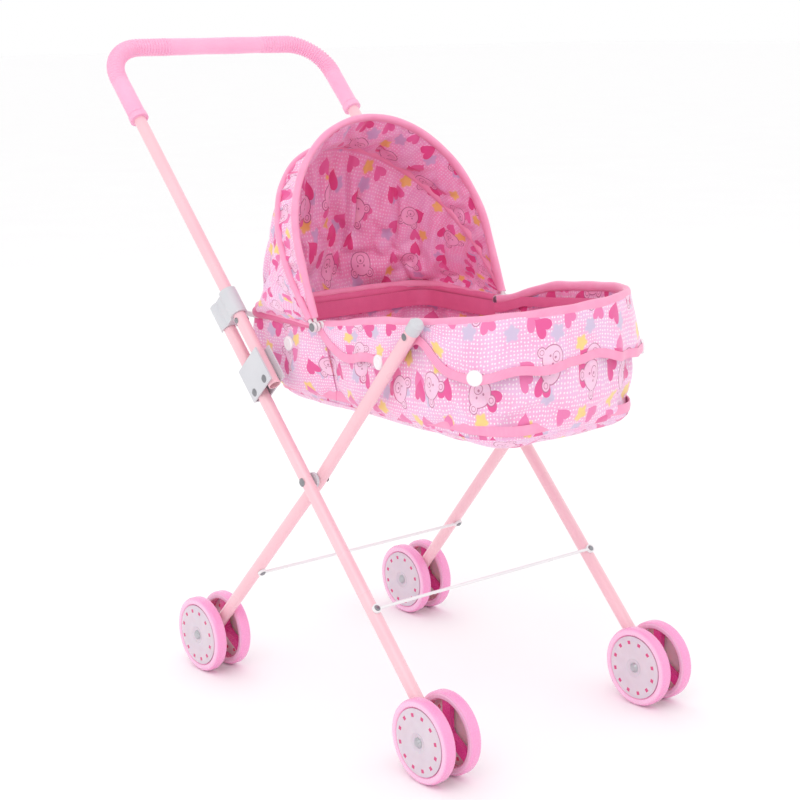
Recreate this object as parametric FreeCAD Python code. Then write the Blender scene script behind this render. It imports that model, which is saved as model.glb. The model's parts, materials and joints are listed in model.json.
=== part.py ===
import FreeCAD, Part
import math
import os

# Folding doll stroller: two crossed pairs of tube legs, a U handle hinged in brackets on the
# front legs and locked by sliding collars, a fabric basket on two hinged rim wires, a two-bow
# canopy and four pairs of wheels.  Millimetres, +Z up, front (foot end) towards -Y.
# Everything is laid out from the middle of the wheelbase and moved by Y_SHIFT when it is written,
# which puts the origin on the floor under the middle of the whole stroller's box.

V = FreeCAD.Vector

# ---- driving dimensions -------------------------------------------------------------------
TUBE_R = 5.25                 # leg and handle tube, outside radius
TUBE_WALL = 0.7
WHEEL_R = 33.0
WHEEL_W = 10.5
HALF_BASE = 154.0             # wheel axles in front of and behind the middle
LEG_X = 115.5                 # front leg tubes and handle tubes, from the middle plane
REAR_LEG_X_PIVOT = 102.0      # rear leg tubes run inside the front ones at the crossing
REAR_LEG_X_TOP = 103.5
PIVOT_Z = 200.0               # crossing of the legs
FRONT_LEG_TOP = (145.1, 348.5)   # a point on the front leg's line, (y, z)
FRONT_LEG_LENGTH = 400.0      # from the axle to the top end
TUBE_TAIL = 9.0               # tube below the axle
HANDLE_OFFSET = 20.0          # handle tube in front of the front leg
REAR_LEG_SLOPE = 1.1156       # rise per millimetre forward
REAR_LEG_UPPER = 190.0        # from the crossing to the top end

BRACKET_LOW = 313.0           # along the front leg, from the axle
BRACKET_HIGH = 344.0
HANDLE_PIVOT_T = 318.5
STOP_RIVET_T = 376.7
COLLAR_LOW = 382.0
COLLAR_HIGH = 406.0
HANDLE_LOW = 311.0
HANDLE_TOP = 676.0
HANDLE_BEND_R = 36.0
GRIP_LOW = 598.0
GRIP_R = 7.6
RIM_PIN_T = 396.0             # rear rim's pin on the front leg
FRONT_ROD_T = 108.6
REAR_ROD_R = 125.0            # cross rod on the rear legs, from the crossing
RIM_EYE_R = 177.3             # front rim's pin on the rear leg, from the crossing

MID = (8.0, 323.0)            # middle pivot of the rims and canopy, (y, z)
WIRE_R = 1.6
FRONT_RIM_X = 92.0
REAR_RIM_X = 95.8
FRONT_BOW_X = 99.4
MID_BOW_X = 102.8
RIM_SLOPE = 0.10
FRONT_RIM_BEND_Y = -109.0     # where the straight sides of the front rim end
REAR_RIM_Y = 112.0
BASKET_FLOOR_Z = 257.0
SKIN = 1.8                    # thickness that stands for doubled fabric
FRONT_LEAN = 20.0             # canopy bows, degrees behind the vertical
MID_LEAN = 40.0
FRONT_BOW_LEG = 60.0          # straight length of a bow's leg, from the middle pivot
MID_BOW_LEG = 30.0
FRONT_BOW_TOP = 167.0
MID_BOW_TOP = 171.0

PIN_R = 1.55
SPACER_PLAY = 0.8             # the rear leg bends towards the spacer below the crossing
RUN = 0.06                    # radial clearance where a part turns on a pin
AXLE_R = 1.9
RIVET_R = 1.9

SIDES = (("left", -1), ("right", 1))

# ---- frame geometry worked out from the driving dimensions -----------------------------------
FRONT_AXLE = (-HALF_BASE, WHEEL_R)
REAR_AXLE = (HALF_BASE, WHEEL_R)
LEG_LEN = math.hypot(FRONT_LEG_TOP[0] - FRONT_AXLE[0], FRONT_LEG_TOP[1] - FRONT_AXLE[1])
ALONG = ((FRONT_LEG_TOP[0] - FRONT_AXLE[0]) / LEG_LEN, (FRONT_LEG_TOP[1] - FRONT_AXLE[1]) / LEG_LEN)
AHEAD = (-ALONG[1], ALONG[0])
PIVOT = (FRONT_AXLE[0] + ALONG[0] / ALONG[1] * (PIVOT_Z - WHEEL_R), PIVOT_Z)
REAR_LEN = math.hypot(1.0, REAR_LEG_SLOPE)
REAR_UP = (-1.0 / REAR_LEN, REAR_LEG_SLOPE / REAR_LEN)


def on_leg(x, t, s=0.0):
    """Point t along the front leg from its axle and s in front of it."""
    return V(x, FRONT_AXLE[0] + ALONG[0] * t + AHEAD[0] * s, FRONT_AXLE[1] + ALONG[1] * t + AHEAD[1] * s)


def on_rear_leg(side, r, s=0.0):
    """Point r above the crossing on the upper rear leg, and s in front of and above it."""
    x = REAR_LEG_X_PIVOT + (REAR_LEG_X_TOP - REAR_LEG_X_PIVOT) * r / REAR_LEG_UPPER
    return V(side * x, PIVOT[0] + REAR_UP[0] * r - REAR_UP[1] * s, PIVOT[1] + REAR_UP[1] * r + REAR_UP[0] * s)


HANDLE_TOP_Y = on_leg(0, HANDLE_TOP, HANDLE_OFFSET).y
FRONT_RIM_R = FRONT_RIM_X - 6.0
BASKET_FRONT_Y = FRONT_RIM_BEND_Y - FRONT_RIM_R - WIRE_R
Y_SHIFT = -(HANDLE_TOP_Y + GRIP_R + BASKET_FRONT_Y) / 2.0
LEG_DIR = V(0, ALONG[0], ALONG[1])
LEG_AHEAD = V(0, AHEAD[0], AHEAD[1])

os.makedirs("parts", exist_ok=True)


def write(name, solids):
    """Moves the solids of one node to the origin's frame and writes them."""
    solids = solids if isinstance(solids, list) else [solids]
    shape = solids[0] if len(solids) == 1 else Part.makeCompound(solids)
    shape = shape.copy()
    shape.translate(V(0, Y_SHIFT, 0))
    shape.exportStep("parts/%s.step" % name)


# ---- shared shapes --------------------------------------------------------------------------
def rod(start, end, radius):
    """Solid cylinder between two points."""
    axis = end.sub(start)
    return Part.makeCylinder(radius, axis.Length, start, axis)


def pin_x(x0, x1, y, z, radius):
    """Cylinder along X between two x values."""
    return Part.makeCylinder(radius, abs(x1 - x0), V(min(x0, x1), y, z), V(1, 0, 0))


def rivet_x(side, near, far, y, z, radius, head_r, head_h, heads=(True, True)):
    """Rivet along X from near to far (distances from the middle plane) with domed heads."""
    body = pin_x(side * near, side * far, y, z, radius)
    for x, out, wanted in ((near, -side, heads[0]), (far, side, heads[1])):
        if wanted:
            cone = Part.makeCone(head_r, head_r * 0.55, head_h, V(side * x, y, z), V(out, 0, 0))
            body = body.fuse(cone)
    return body.removeSplitter()


def fused(first, *others):
    """One solid from overlapping solids."""
    return first.multiFuse(list(others)).removeSplitter()


def sweep(path, radius):
    """Round bar along a wire of lines and arcs."""
    edge = path.OrderedEdges[0]
    at = edge.valueAt(edge.FirstParameter)
    along = edge.tangentAt(edge.FirstParameter)
    ring = Part.Wire(Part.makeCircle(radius, at, along))
    return path.makePipeShell([ring], True, True)


def arc(a, b, c):
    """Arc edge through three points."""
    return Part.Arc(a, b, c).toShape()


def line(a, b):
    """Straight edge."""
    return Part.makeLine(a, b)


# ---- legs ---------------------------------------------------------------------------------
DRILL = 8.0                   # how far a hole's cutter reaches past a tube's middle
CAP_WALL = 0.6
CAP_SLEEVE = 7.5              # length of the cap over the tube
CAP_FACE = 1.2                # thickness of its end
CAP_DOME = 2.6


def front_leg(side):
    """Straight tube with holes for its axle, rivets and pins."""
    x = side * LEG_X
    low, high = on_leg(x, -TUBE_TAIL), on_leg(x, FRONT_LEG_LENGTH)
    tube = rod(low, high, TUBE_R).cut(rod(low, high, TUBE_R - TUBE_WALL))
    for t, radius in ((0.0, AXLE_R), (PIVOT_T, RIVET_R), (HANDLE_PIVOT_T, RIVET_R)):
        at = on_leg(x, t)
        tube = tube.cut(pin_x(x - DRILL, x + DRILL, at.y, at.z, radius))
    at = on_leg(x, RIM_PIN_T)
    tube = tube.cut(pin_x(x, x - side * DRILL, at.y, at.z, PIN_R))
    at = on_leg(x, FRONT_ROD_T)
    return tube.cut(Part.makeCylinder(ROD_RIVET_R, DRILL, at, LEG_AHEAD))


def rear_leg(side):
    """Tube with a slight bend at the crossing, so that its wheels line up with the front ones."""
    centre = on_rear_leg(side, 0.0)
    top = on_rear_leg(side, REAR_LEG_UPPER)
    axle = V(side * LEG_X, REAR_AXLE[0], REAR_AXLE[1])
    down = axle.sub(centre)
    low = axle.add(down.multiply(TUBE_TAIL / down.Length))
    tube = fused(rod(low, centre, TUBE_R), rod(centre, top, TUBE_R), Part.makeSphere(TUBE_R, centre))
    bore_r = TUBE_R - TUBE_WALL
    bore = fused(rod(low, centre, bore_r), rod(centre, top, bore_r), Part.makeSphere(bore_r, centre))
    tube = tube.cut(bore)
    tube = tube.cut(pin_x(axle.x - DRILL, axle.x + DRILL, axle.y, axle.z, AXLE_R))
    tube = tube.cut(pin_x(centre.x - DRILL, centre.x + DRILL, centre.y, centre.z, RIVET_R + RUN))
    eye = on_rear_leg(side, RIM_EYE_R)
    tube = tube.cut(pin_x(eye.x - DRILL, eye.x + DRILL, eye.y, eye.z, PIN_R))
    at, out = rear_rod_seat(side)
    return tube.cut(Part.makeCylinder(ROD_RIVET_R, DRILL, at, out))


def rear_rod_seat(side):
    """Centre of the rear leg at the cross rod and the direction its rivet faces."""
    centre = on_rear_leg(side, 0.0)
    down = V(side * LEG_X, REAR_AXLE[0], REAR_AXLE[1]).sub(centre)
    along = V(down).normalize()
    at = centre.add(V(along).multiply(REAR_ROD_R))
    out = along.cross(V(-1, 0, 0)).normalize()
    if out.y > 0:
        out = out.multiply(-1)
    return at, out


def leg_cap(side):
    """Moulded cap over the top end of a rear leg."""
    low = on_rear_leg(side, REAR_LEG_UPPER - CAP_SLEEVE)
    high = on_rear_leg(side, REAR_LEG_UPPER + CAP_FACE)
    axis = high.sub(low).normalize()
    wide = TUBE_R + CAP_WALL
    shell = fused(rod(low, high, wide), Part.makeCone(wide, TUBE_R - 1.6, CAP_DOME, high, axis))
    return shell.cut(rod(low, on_rear_leg(side, REAR_LEG_UPPER), TUBE_R))


ROD_R = 1.3
ROD_RIVET_R = 1.5
ROD_EYE_R = 3.8
ROD_EYE_H = 2.0
ROD_HEAD_R = 2.6
ROD_HEAD_H = 1.1
ROD_START = 3.0               # the round bar begins this far from its rivet
PIVOT_T = math.hypot(PIVOT[0] - FRONT_AXLE[0], PIVOT[1] - FRONT_AXLE[1])


def cross_rod(seats):
    """Thin rod between two legs with a flat eye at each end, held in front of the tubes."""
    ends = [at.add(V(out).multiply(TUBE_R + ROD_EYE_H / 2)) for at, out in seats]
    across = ends[1].sub(ends[0]).normalize()
    bar = rod(ends[0].add(V(across).multiply(ROD_START)), ends[1].sub(V(across).multiply(ROD_START)), ROD_R)
    for at, out in seats:
        foot = at.add(V(out).multiply(TUBE_R))
        bar = bar.fuse(Part.makeCylinder(ROD_EYE_R, ROD_EYE_H, foot, out))
    bar = bar.removeSplitter()
    for at, out in seats:
        bar = bar.cut(Part.makeCylinder(ROD_RIVET_R, 2 * DRILL, at, out))
    return bar


def rod_rivets(seats):
    """Rivets that hold a cross rod's eyes against the tubes."""
    rivets = []
    for at, out in seats:
        foot = at.add(V(out).multiply(TUBE_R - 2.0))
        head = at.add(V(out).multiply(TUBE_R + ROD_EYE_H))
        shank = rod(foot, head, ROD_RIVET_R)
        rivets.append(shank.fuse(Part.makeCone(ROD_HEAD_R, 0.6 * ROD_HEAD_R, ROD_HEAD_H, head, out)).removeSplitter())
    return rivets


# ---- wheels -------------------------------------------------------------------------------
PAIR_GAP = 7.2                # from the leg's middle to each wheel's inner face
HUB_R = 5.2
TREAD_IN_R = 26.6
SPOKE_W = 8.5


def turned(points, at, out):
    """Solid of revolution about X through a point, from (distance along out, radius) corners."""
    corners = [V(at.x + out * a, at.y, at.z + r) for a, r in points]
    edges = [line(corners[i], corners[(i + 1) % len(corners)]) for i in range(len(corners))]
    face = Part.Face(Part.Wire(edges))
    return face.revolve(V(at.x, at.y, at.z), V(1, 0, 0), 360)


def wheel(at, out):
    """Moulded wheel: crowned tread, shoulder for the hubcap, three spokes and a hub."""
    inner, outer = PAIR_GAP, PAIR_GAP + WHEEL_W
    tread = [(inner + 1.2, TREAD_IN_R), (inner, TREAD_IN_R + 1.4), (inner, WHEEL_R - 2.6),
             (inner + 0.8, WHEEL_R - 0.9), (inner + 2.6, WHEEL_R), (outer - 2.6, WHEEL_R),
             (outer - 0.8, WHEEL_R - 0.9), (outer, WHEEL_R - 2.6), (outer, TREAD_IN_R + 1.4),
             (outer - 1.2, TREAD_IN_R)]
    hub = [(inner, AXLE_R + RUN), (inner, HUB_R), (outer - 2.6, HUB_R), (outer - 2.6, AXLE_R + RUN)]
    shell = turned(tread, at, out)
    for number in range(3):
        spoke = Part.makeBox(4.5, SPOKE_W, TREAD_IN_R - HUB_R + 2.4)
        spoke.translate(V(0, -SPOKE_W / 2, HUB_R - 1.0))
        spoke.rotate(V(0, 0, 0), V(1, 0, 0), 120.0 * number)
        spoke.translate(V(at.x + out * (inner + 2.6) - (0 if out > 0 else 4.5), at.y, at.z))
        shell = shell.fuse(spoke)
    return shell.fuse(turned(hub, at, out)).removeSplitter()


def hubcap(at, out):
    """Shallow dished disc that closes the outside of a wheel."""
    edge = PAIR_GAP + WHEEL_W - 1.6
    profile = [(edge, AXLE_R + RUN), (edge, TREAD_IN_R - 0.15), (edge + 1.4, TREAD_IN_R - 0.15),
               (edge + 2.2, TREAD_IN_R - 3.0), (edge + 2.2, 8.0), (edge + 1.4, 6.4),
               (edge + 1.4, AXLE_R + RUN)]
    return turned(profile, at, out)


def axle(at):
    """Steel axle through the leg with a pressed head at each end."""
    reach = PAIR_GAP + WHEEL_W + 0.1
    bar = pin_x(at.x - reach, at.x + reach, at.y, at.z, AXLE_R)
    for out in (-1, 1):
        head = Part.makeCone(4.2, 2.6, 1.5, V(at.x + out * reach, at.y, at.z), V(out, 0, 0))
        bar = bar.fuse(head)
    return bar.removeSplitter()


# ---- brackets, collars and handle -------------------------------------------------------------
def leg_box(x0, x1, t0, t1, s0, s1):
    """Box laid along the front leg, between the given x, t and s values."""
    box = Part.makeBox(abs(x1 - x0), t1 - t0, s1 - s0)
    box.translate(V(min(x0, x1), t0, s0))
    box.rotate(V(0, 0, 0), V(1, 0, 0), math.degrees(math.atan2(ALONG[1], ALONG[0])))
    box.translate(V(0, FRONT_AXLE[0], FRONT_AXLE[1]))
    return box


BRACKET_PLATE = 1.4
TUBE_PLAY = 0.35              # gap round a tube in its bracket or fork
BRACKET_IN = TUBE_R + TUBE_PLAY
BRACKET_BACK = -BRACKET_IN
BRACKET_HEAD_R = 3.4
BRACKET_HEAD_H = 1.1
BRACKET_FRONT = 28.5


def bracket(side):
    """Pressed channel, open to the front, that holds the leg and the foot of the handle."""
    x = side * LEG_X
    outer_x = BRACKET_IN + BRACKET_PLATE
    back = BRACKET_BACK - BRACKET_PLATE
    block = leg_box(x - outer_x, x + outer_x, BRACKET_LOW, BRACKET_HIGH, back, BRACKET_FRONT)
    inside = leg_box(x - BRACKET_IN, x + BRACKET_IN, BRACKET_LOW - 1, BRACKET_HIGH + 1, BRACKET_BACK,
                     BRACKET_FRONT + 1)
    channel = block.cut(inside)
    for s in (0.0, HANDLE_OFFSET):
        at = on_leg(x, HANDLE_PIVOT_T, s)
        channel = channel.cut(pin_x(x - 2 * DRILL, x + 2 * DRILL, at.y, at.z, RIVET_R))
    return channel


def bracket_rivets(s):
    """Rivets through both brackets at one place across the leg."""
    rivets = []
    reach = BRACKET_IN + BRACKET_PLATE
    for _, side in SIDES:
        at = on_leg(0, HANDLE_PIVOT_T, s)
        rivets.append(rivet_x(side, LEG_X - reach, LEG_X + reach, at.y, at.z, RIVET_R, BRACKET_HEAD_R, BRACKET_HEAD_H))
    return rivets


COLLAR_WALL = 2.2
COLLAR_INNER_WALL = 1.35      # flat towards the basket, to pass the rear legs
COLLAR_RUN = 0.25             # the collar slides on the handle tube
BRIDGE_HALF = 5.0
FORK_BACK = -12.0             # behind everything of the fork
FORK_LIP = 2.6                # the fork's inner side ends here, in front of the leg's middle


def collar(side):
    """Sliding sleeve on the handle tube with a fork that takes the top end of the leg."""
    x = side * LEG_X
    low, high = COLLAR_LOW - 1, COLLAR_HIGH + 1
    reach = TUBE_R + COLLAR_WALL
    sleeve = rod(on_leg(x, COLLAR_LOW, HANDLE_OFFSET), on_leg(x, COLLAR_HIGH, HANDLE_OFFSET), reach)
    fork = rod(on_leg(x, COLLAR_LOW), on_leg(x, COLLAR_HIGH), reach)
    bridge = leg_box(x - BRIDGE_HALF, x + BRIDGE_HALF, COLLAR_LOW, COLLAR_HIGH, 0.0, HANDLE_OFFSET)
    body = fused(sleeve, fork, bridge)
    slot = TUBE_R + TUBE_PLAY
    body = body.cut(rod(on_leg(x, low), on_leg(x, FRONT_LEG_LENGTH + 1), slot))
    body = body.cut(leg_box(x - slot, x + slot, low, FRONT_LEG_LENGTH + 1, FORK_BACK, 0.0))
    inner_edge = x - side * (TUBE_R - 2.0)
    body = body.cut(leg_box(inner_edge, x + side * FORK_BACK, low, high, FORK_BACK, FORK_LIP))
    trim = x - side * (TUBE_R + COLLAR_INNER_WALL)
    body = body.cut(leg_box(trim, trim - side * reach, low, high, FORK_BACK, 2 * HANDLE_OFFSET))
    return body.cut(rod(on_leg(x, low, HANDLE_OFFSET), on_leg(x, high, HANDLE_OFFSET), TUBE_R + COLLAR_RUN))


def handle_path(low):
    """U of the handle, both feet starting at the given height along the legs."""
    bend = HANDLE_BEND_R
    square = bend * (1 - math.sqrt(0.5))
    edges = []
    foot = on_leg(-LEG_X, low, HANDLE_OFFSET)
    turn = on_leg(-LEG_X, HANDLE_TOP - bend, HANDLE_OFFSET)
    middle = on_leg(-LEG_X + square, HANDLE_TOP - square, HANDLE_OFFSET)
    across = on_leg(-LEG_X + bend, HANDLE_TOP, HANDLE_OFFSET)
    edges += [line(foot, turn), arc(turn, middle, across)]
    across_r = on_leg(LEG_X - bend, HANDLE_TOP, HANDLE_OFFSET)
    middle_r = on_leg(LEG_X - square, HANDLE_TOP - square, HANDLE_OFFSET)
    turn_r = on_leg(LEG_X, HANDLE_TOP - bend, HANDLE_OFFSET)
    foot_r = on_leg(LEG_X, low, HANDLE_OFFSET)
    edges += [line(across, across_r), arc(across_r, middle_r, turn_r), line(turn_r, foot_r)]
    return Part.Wire(edges)


def handle_tube():
    """Bent tube with holes for its pivots and stop rivets."""
    path = handle_path(HANDLE_LOW)
    tube = sweep(path, TUBE_R).cut(sweep(path, TUBE_R - TUBE_WALL))
    for _, side in SIDES:
        x = side * LEG_X
        at = on_leg(x, HANDLE_PIVOT_T, HANDLE_OFFSET)
        tube = tube.cut(pin_x(x - 9, x + 9, at.y, at.z, RIVET_R + RUN))
        at = on_leg(x, STOP_RIVET_T, HANDLE_OFFSET)
        tube = tube.cut(pin_x(x - 9, x + 9, at.y, at.z, PIN_R))
    return tube


def handle_grip():
    """Soft sleeve over the crossbar and bends."""
    path = handle_path(GRIP_LOW)
    return sweep(path, GRIP_R).cut(sweep(path, TUBE_R + 0.02))


def grip_rings():
    """End rings of the grip."""
    rings = []
    for _, side in SIDES:
        x = side * LEG_X
        low, high = on_leg(x, GRIP_LOW - 5.0, HANDLE_OFFSET), on_leg(x, GRIP_LOW, HANDLE_OFFSET)
        rings.append(rod(low, high, GRIP_R + 0.7).cut(rod(low, high, TUBE_R + 0.02)))
    return rings


def stop_rivets():
    """Rivets across the handle tubes that stop the collars."""
    at = on_leg(0, STOP_RIVET_T, HANDLE_OFFSET)
    return [rivet_x(side, LEG_X - TUBE_R, LEG_X + TUBE_R, at.y, at.z, PIN_R, 2.6, 1.0) for _, side in SIDES]


# ---- rims and canopy --------------------------------------------------------------------------
EYE_R = 4.4
EYE_W = 2.4


def rim_z(y):
    """Height of the front rim's plane."""
    return MID[1] + (MID[0] - y) * RIM_SLOPE


def eye(x, y, z):
    """Flat ring's blank on an X axis."""
    return pin_x(x - EYE_W / 2, x + EYE_W / 2, y, z, EYE_R)


def front_rim():
    """U-shaped wire round the foot end, with eyes for the middle pivot and the rear legs' pins."""
    bend_y, radius = FRONT_RIM_BEND_Y, FRONT_RIM_R
    root = math.sqrt(0.5)
    flat = FRONT_RIM_X - radius

    def at(x, y):
        return V(x, y, rim_z(y))

    # the bends are a little elliptical seen square on, because the rim's plane is tilted
    corner_l = (at(-FRONT_RIM_X, bend_y), at(-flat - radius * root, bend_y - radius * root),
                at(-flat, bend_y - radius))
    corner_r = (at(flat, bend_y - radius), at(flat + radius * root, bend_y - radius * root),
                at(FRONT_RIM_X, bend_y))
    path = Part.Wire([line(at(-FRONT_RIM_X, MID[0]), corner_l[0]), arc(*corner_l),
                      line(corner_l[2], corner_r[0]), arc(*corner_r),
                      line(corner_r[2], at(FRONT_RIM_X, MID[0]))])
    solids = [sweep(path, WIRE_R)]
    pin = on_rear_leg(1, RIM_EYE_R)
    for _, side in SIDES:
        solids.append(eye(side * FRONT_RIM_X, MID[0], MID[1]))
        solids.append(eye(side * FRONT_RIM_X, pin.y, pin.z))
    rim = fused(*solids)
    for _, side in SIDES:
        rim = rim.cut(pin_x(side * FRONT_RIM_X - 3, side * FRONT_RIM_X + 3, MID[0], MID[1], PIN_R + RUN))
        rim = rim.cut(pin_x(side * FRONT_RIM_X - 3, side * FRONT_RIM_X + 3, pin.y, pin.z, PIN_R))
    return rim


REAR_BEND = 18.0


def rear_rim():
    """U-shaped wire round the head end, with lugs that turn on the front legs' pins."""
    x, bend, root = REAR_RIM_X, REAR_BEND, REAR_BEND * (1 - math.sqrt(0.5))
    back, z = REAR_RIM_Y, MID[1]
    left = (V(-x, back - bend, z), V(-x + root, back - root, z), V(-x + bend, back, z))
    right = (V(x - bend, back, z), V(x - root, back - root, z), V(x, back - bend, z))
    path = Part.Wire([line(V(-x, MID[0], z), left[0]), arc(*left), line(left[2], right[0]), arc(*right),
                      line(right[2], V(x, MID[0], z))])
    solids = [sweep(path, WIRE_R)]
    pin = on_leg(0, RIM_PIN_T)
    for _, side in SIDES:
        solids.append(eye(side * x, MID[0], z))
        solids.append(eye(side * x, pin.y, pin.z))
        lug = Part.makeBox(EYE_W, pin.y - (back - bend), 4.0)
        lug.translate(V(side * x - EYE_W / 2, back - bend, z - 4.2))
        solids.append(lug)
    rim = fused(*solids)
    for _, side in SIDES:
        rim = rim.cut(pin_x(side * x - 3, side * x + 3, MID[0], z, PIN_R))
        rim = rim.cut(pin_x(side * x - 3, side * x + 3, pin.y, pin.z, PIN_R + RUN))
    return rim


def rear_rim_pins():
    """Pins in the front legs on which the rear rim's lugs turn."""
    at = on_leg(0, RIM_PIN_T)
    near = REAR_RIM_X - EYE_W / 2 - 0.3
    return [rivet_x(side, near, LEG_X - 2.0, at.y, at.z, PIN_R, 3.0, 0.9, (True, False)) for _, side in SIDES]


def front_rim_rivets():
    """Rivets in the rear legs at the front rim's pins; they end just short of the rim's eyes."""
    at = on_rear_leg(1, RIM_EYE_R)
    near = FRONT_RIM_X + EYE_W / 2 + 1.2
    return [rivet_x(side, near, at.x + TUBE_R, at.y, at.z, PIN_R, 2.8, 0.85, (False, True)) for _, side in SIDES]


def middle_rivets():
    """Rivets that join both rims and both bows at the middle pivot."""
    near = FRONT_RIM_X - WIRE_R - 0.3
    far = MID_BOW_X + BOW_EYE_W / 2 + 0.3
    return [rivet_x(side, near, far, MID[0], MID[1], PIN_R, 3.4, 1.2) for _, side in SIDES]


BOW_R = 1.5
BOW_EYE_W = 2.2
BOW_FOOT = 3.6                # where a bow's bar ends in its eye, from the pivot
HOOD_FOOT = 8.0               # where the canopy fabric ends, from the pivot


def lean_point(x, up, lean):
    """Point at x and a distance up a plane that leans back about the middle pivot."""
    angle = math.radians(lean)
    return V(x, MID[0] + up * math.sin(angle), MID[1] + up * math.cos(angle))


def arch(half, top, leg, lean, foot):
    """Edges of an arch: two legs and a half ellipse, in a leaning plane."""
    angle = math.radians(lean)
    up = V(0, math.sin(angle), math.cos(angle))
    centre = lean_point(0, leg, lean)
    rise = top - leg
    if rise >= half:
        curve = Part.Ellipse(centre.add(V(up).multiply(rise)), centre.add(V(half, 0, 0)), centre)
        start, end = -math.pi / 2, math.pi / 2
    else:
        curve = Part.Ellipse(centre.add(V(half, 0, 0)), centre.add(V(up).multiply(rise)), centre)
        start, end = 0.0, math.pi
    crown = curve.toShape(start, end)
    first, last = crown.valueAt(crown.FirstParameter), crown.valueAt(crown.LastParameter)
    side = 1 if first.x > 0 else -1
    return [line(lean_point(side * half, foot, lean), first), crown, line(last, lean_point(-side * half, foot, lean))]


def bow(half, top, leg, lean):
    """Canopy bow with a turning eye at each foot."""
    path = Part.Wire(arch(half, top, leg, lean, BOW_FOOT))
    bar = sweep(path, BOW_R)
    solids = [bar]
    for _, side in SIDES:
        x = side * half
        solids.append(pin_x(x - BOW_EYE_W / 2, x + BOW_EYE_W / 2, MID[0], MID[1], EYE_R - 0.4))
    whole = fused(*solids)
    for _, side in SIDES:
        whole = whole.cut(pin_x(side * half - 3, side * half + 3, MID[0], MID[1], PIN_R + RUN))
    return whole


def hood_section(half, top, leg, lean, foot):
    """Closed wire of a canopy section in a leaning plane."""
    edges = arch(half, top, leg, lean, foot)
    start, end = edges[0].valueAt(edges[0].FirstParameter), edges[2].valueAt(edges[2].LastParameter)
    return Part.Wire(edges + [line(end, start)])


def hood_panel(sections, overrun):
    """Fabric between neighbouring sections: outer loft less a loft that is one skin smaller."""
    outer = Part.makeLoft([hood_section(*each, HOOD_FOOT) for each in sections], True, True)
    smaller = [(half - SKIN, top - SKIN, leg, lean) for half, top, leg, lean in sections]
    first, last = smaller[0], smaller[-1]
    smaller[0] = first[:3] + (first[3] - overrun,)
    smaller[-1] = last[:3] + (last[3] + overrun,)
    inner = Part.makeLoft([hood_section(*each, HOOD_FOOT / 2) for each in smaller], True, True)
    return outer.cut(inner)


# canopy sections: half width, reach, leg length and lean
HOOD_GAP = 3.4                # from a bow's centre line in to the fabric
HOOD_OVERRUN = 0.8            # degrees that the hollow runs past each open edge
FRONT_HOOD = [(FRONT_BOW_X - HOOD_GAP, FRONT_BOW_TOP - HOOD_GAP, FRONT_BOW_LEG, FRONT_LEAN + 1.5),
              (MID_BOW_X - 2 * HOOD_GAP, MID_BOW_TOP - HOOD_GAP, MID_BOW_LEG, MID_LEAN - 1.0)]
REAR_HOOD = [(MID_BOW_X - 2 * HOOD_GAP, MID_BOW_TOP - HOOD_GAP, MID_BOW_LEG, MID_LEAN + 1.0),
             (FRONT_BOW_X - HOOD_GAP, 146.0, 38.0, 62.0),
             (FRONT_BOW_X - 5.0, 106.0, 45.0, 84.0)]


# ---- basket ---------------------------------------------------------------------------------
def basket_outline(half, bend_y, radius, seam_y, z_at, inset):
    """U-shaped outline, closed along the seam; radius turns the corners towards bend_y's side."""
    way = -1 if bend_y < seam_y else 1
    root = math.sqrt(0.5)
    half, radius = half - inset, radius - inset

    def at(x, y):
        return V(x, y, z_at(y))

    tip = bend_y + way * radius
    knee = bend_y + way * radius * root
    side = [line(at(-half, seam_y), at(-half, bend_y)),
            arc(at(-half, bend_y), at(-half + radius * (1 - root), knee), at(-half + radius, tip)),
            line(at(-half + radius, tip), at(half - radius, tip)),
            arc(at(half - radius, tip), at(half - radius * (1 - root), knee), at(half, bend_y)),
            line(at(half, bend_y), at(half, seam_y)),
            line(at(half, seam_y), at(-half, seam_y))]
    return Part.Wire(side)


SEAM_GAP = 0.5
TOP_DROP = 4.8
BASKET_TOP_X = 90.4
BASKET_LOW_X = 80.0
LOW_FRONT_Y = -180.0
LOW_REAR_Y = 104.0
LOW_CORNER = 34.0


def basket_half(front):
    """Half of the basket, open at the top and at the seam between the halves."""
    if front:
        seam, over = MID[0] - SEAM_GAP, 2.0
        top = (BASKET_TOP_X, FRONT_RIM_BEND_Y, FRONT_RIM_R - 1.6)
        low = (BASKET_LOW_X, LOW_FRONT_Y + LOW_CORNER, LOW_CORNER)
        z_top = rim_z
    else:
        seam, over = MID[0] + SEAM_GAP, -2.0
        top = (BASKET_TOP_X, REAR_RIM_Y - REAR_BEND, REAR_BEND - 3.0)
        low = (BASKET_LOW_X, LOW_REAR_Y - LOW_CORNER, LOW_CORNER)

        def z_top(_):
            return MID[1]
    outer = Part.makeLoft([basket_outline(*top, seam, lambda y: z_top(y) - TOP_DROP, 0.0),
                           basket_outline(*low, seam, lambda y: BASKET_FLOOR_Z, 0.0)], True, True)
    inner = Part.makeLoft([basket_outline(*top, seam + over, lambda y: z_top(y) + 1.0, SKIN),
                           basket_outline(*low, seam + over, lambda y: BASKET_FLOOR_Z + SKIN, SKIN)], True, True)
    return outer.cut(inner)


def wall_x(z, z_top):
    """Half width of the basket's straight side at a height."""
    share = (z - BASKET_FLOOR_Z) / (z_top - TOP_DROP - BASKET_FLOOR_Z)
    return BASKET_LOW_X + (BASKET_TOP_X - BASKET_LOW_X) * share


BUTTON_R = 6.0
BUTTON_H = 2.6
BUTTON_SINK = 0.3             # the button's back sits this far into the fabric
REAR_BUTTON = (54.0, 302.0)
SIDE_BUTTON = (-56.0, 300.0)


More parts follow.
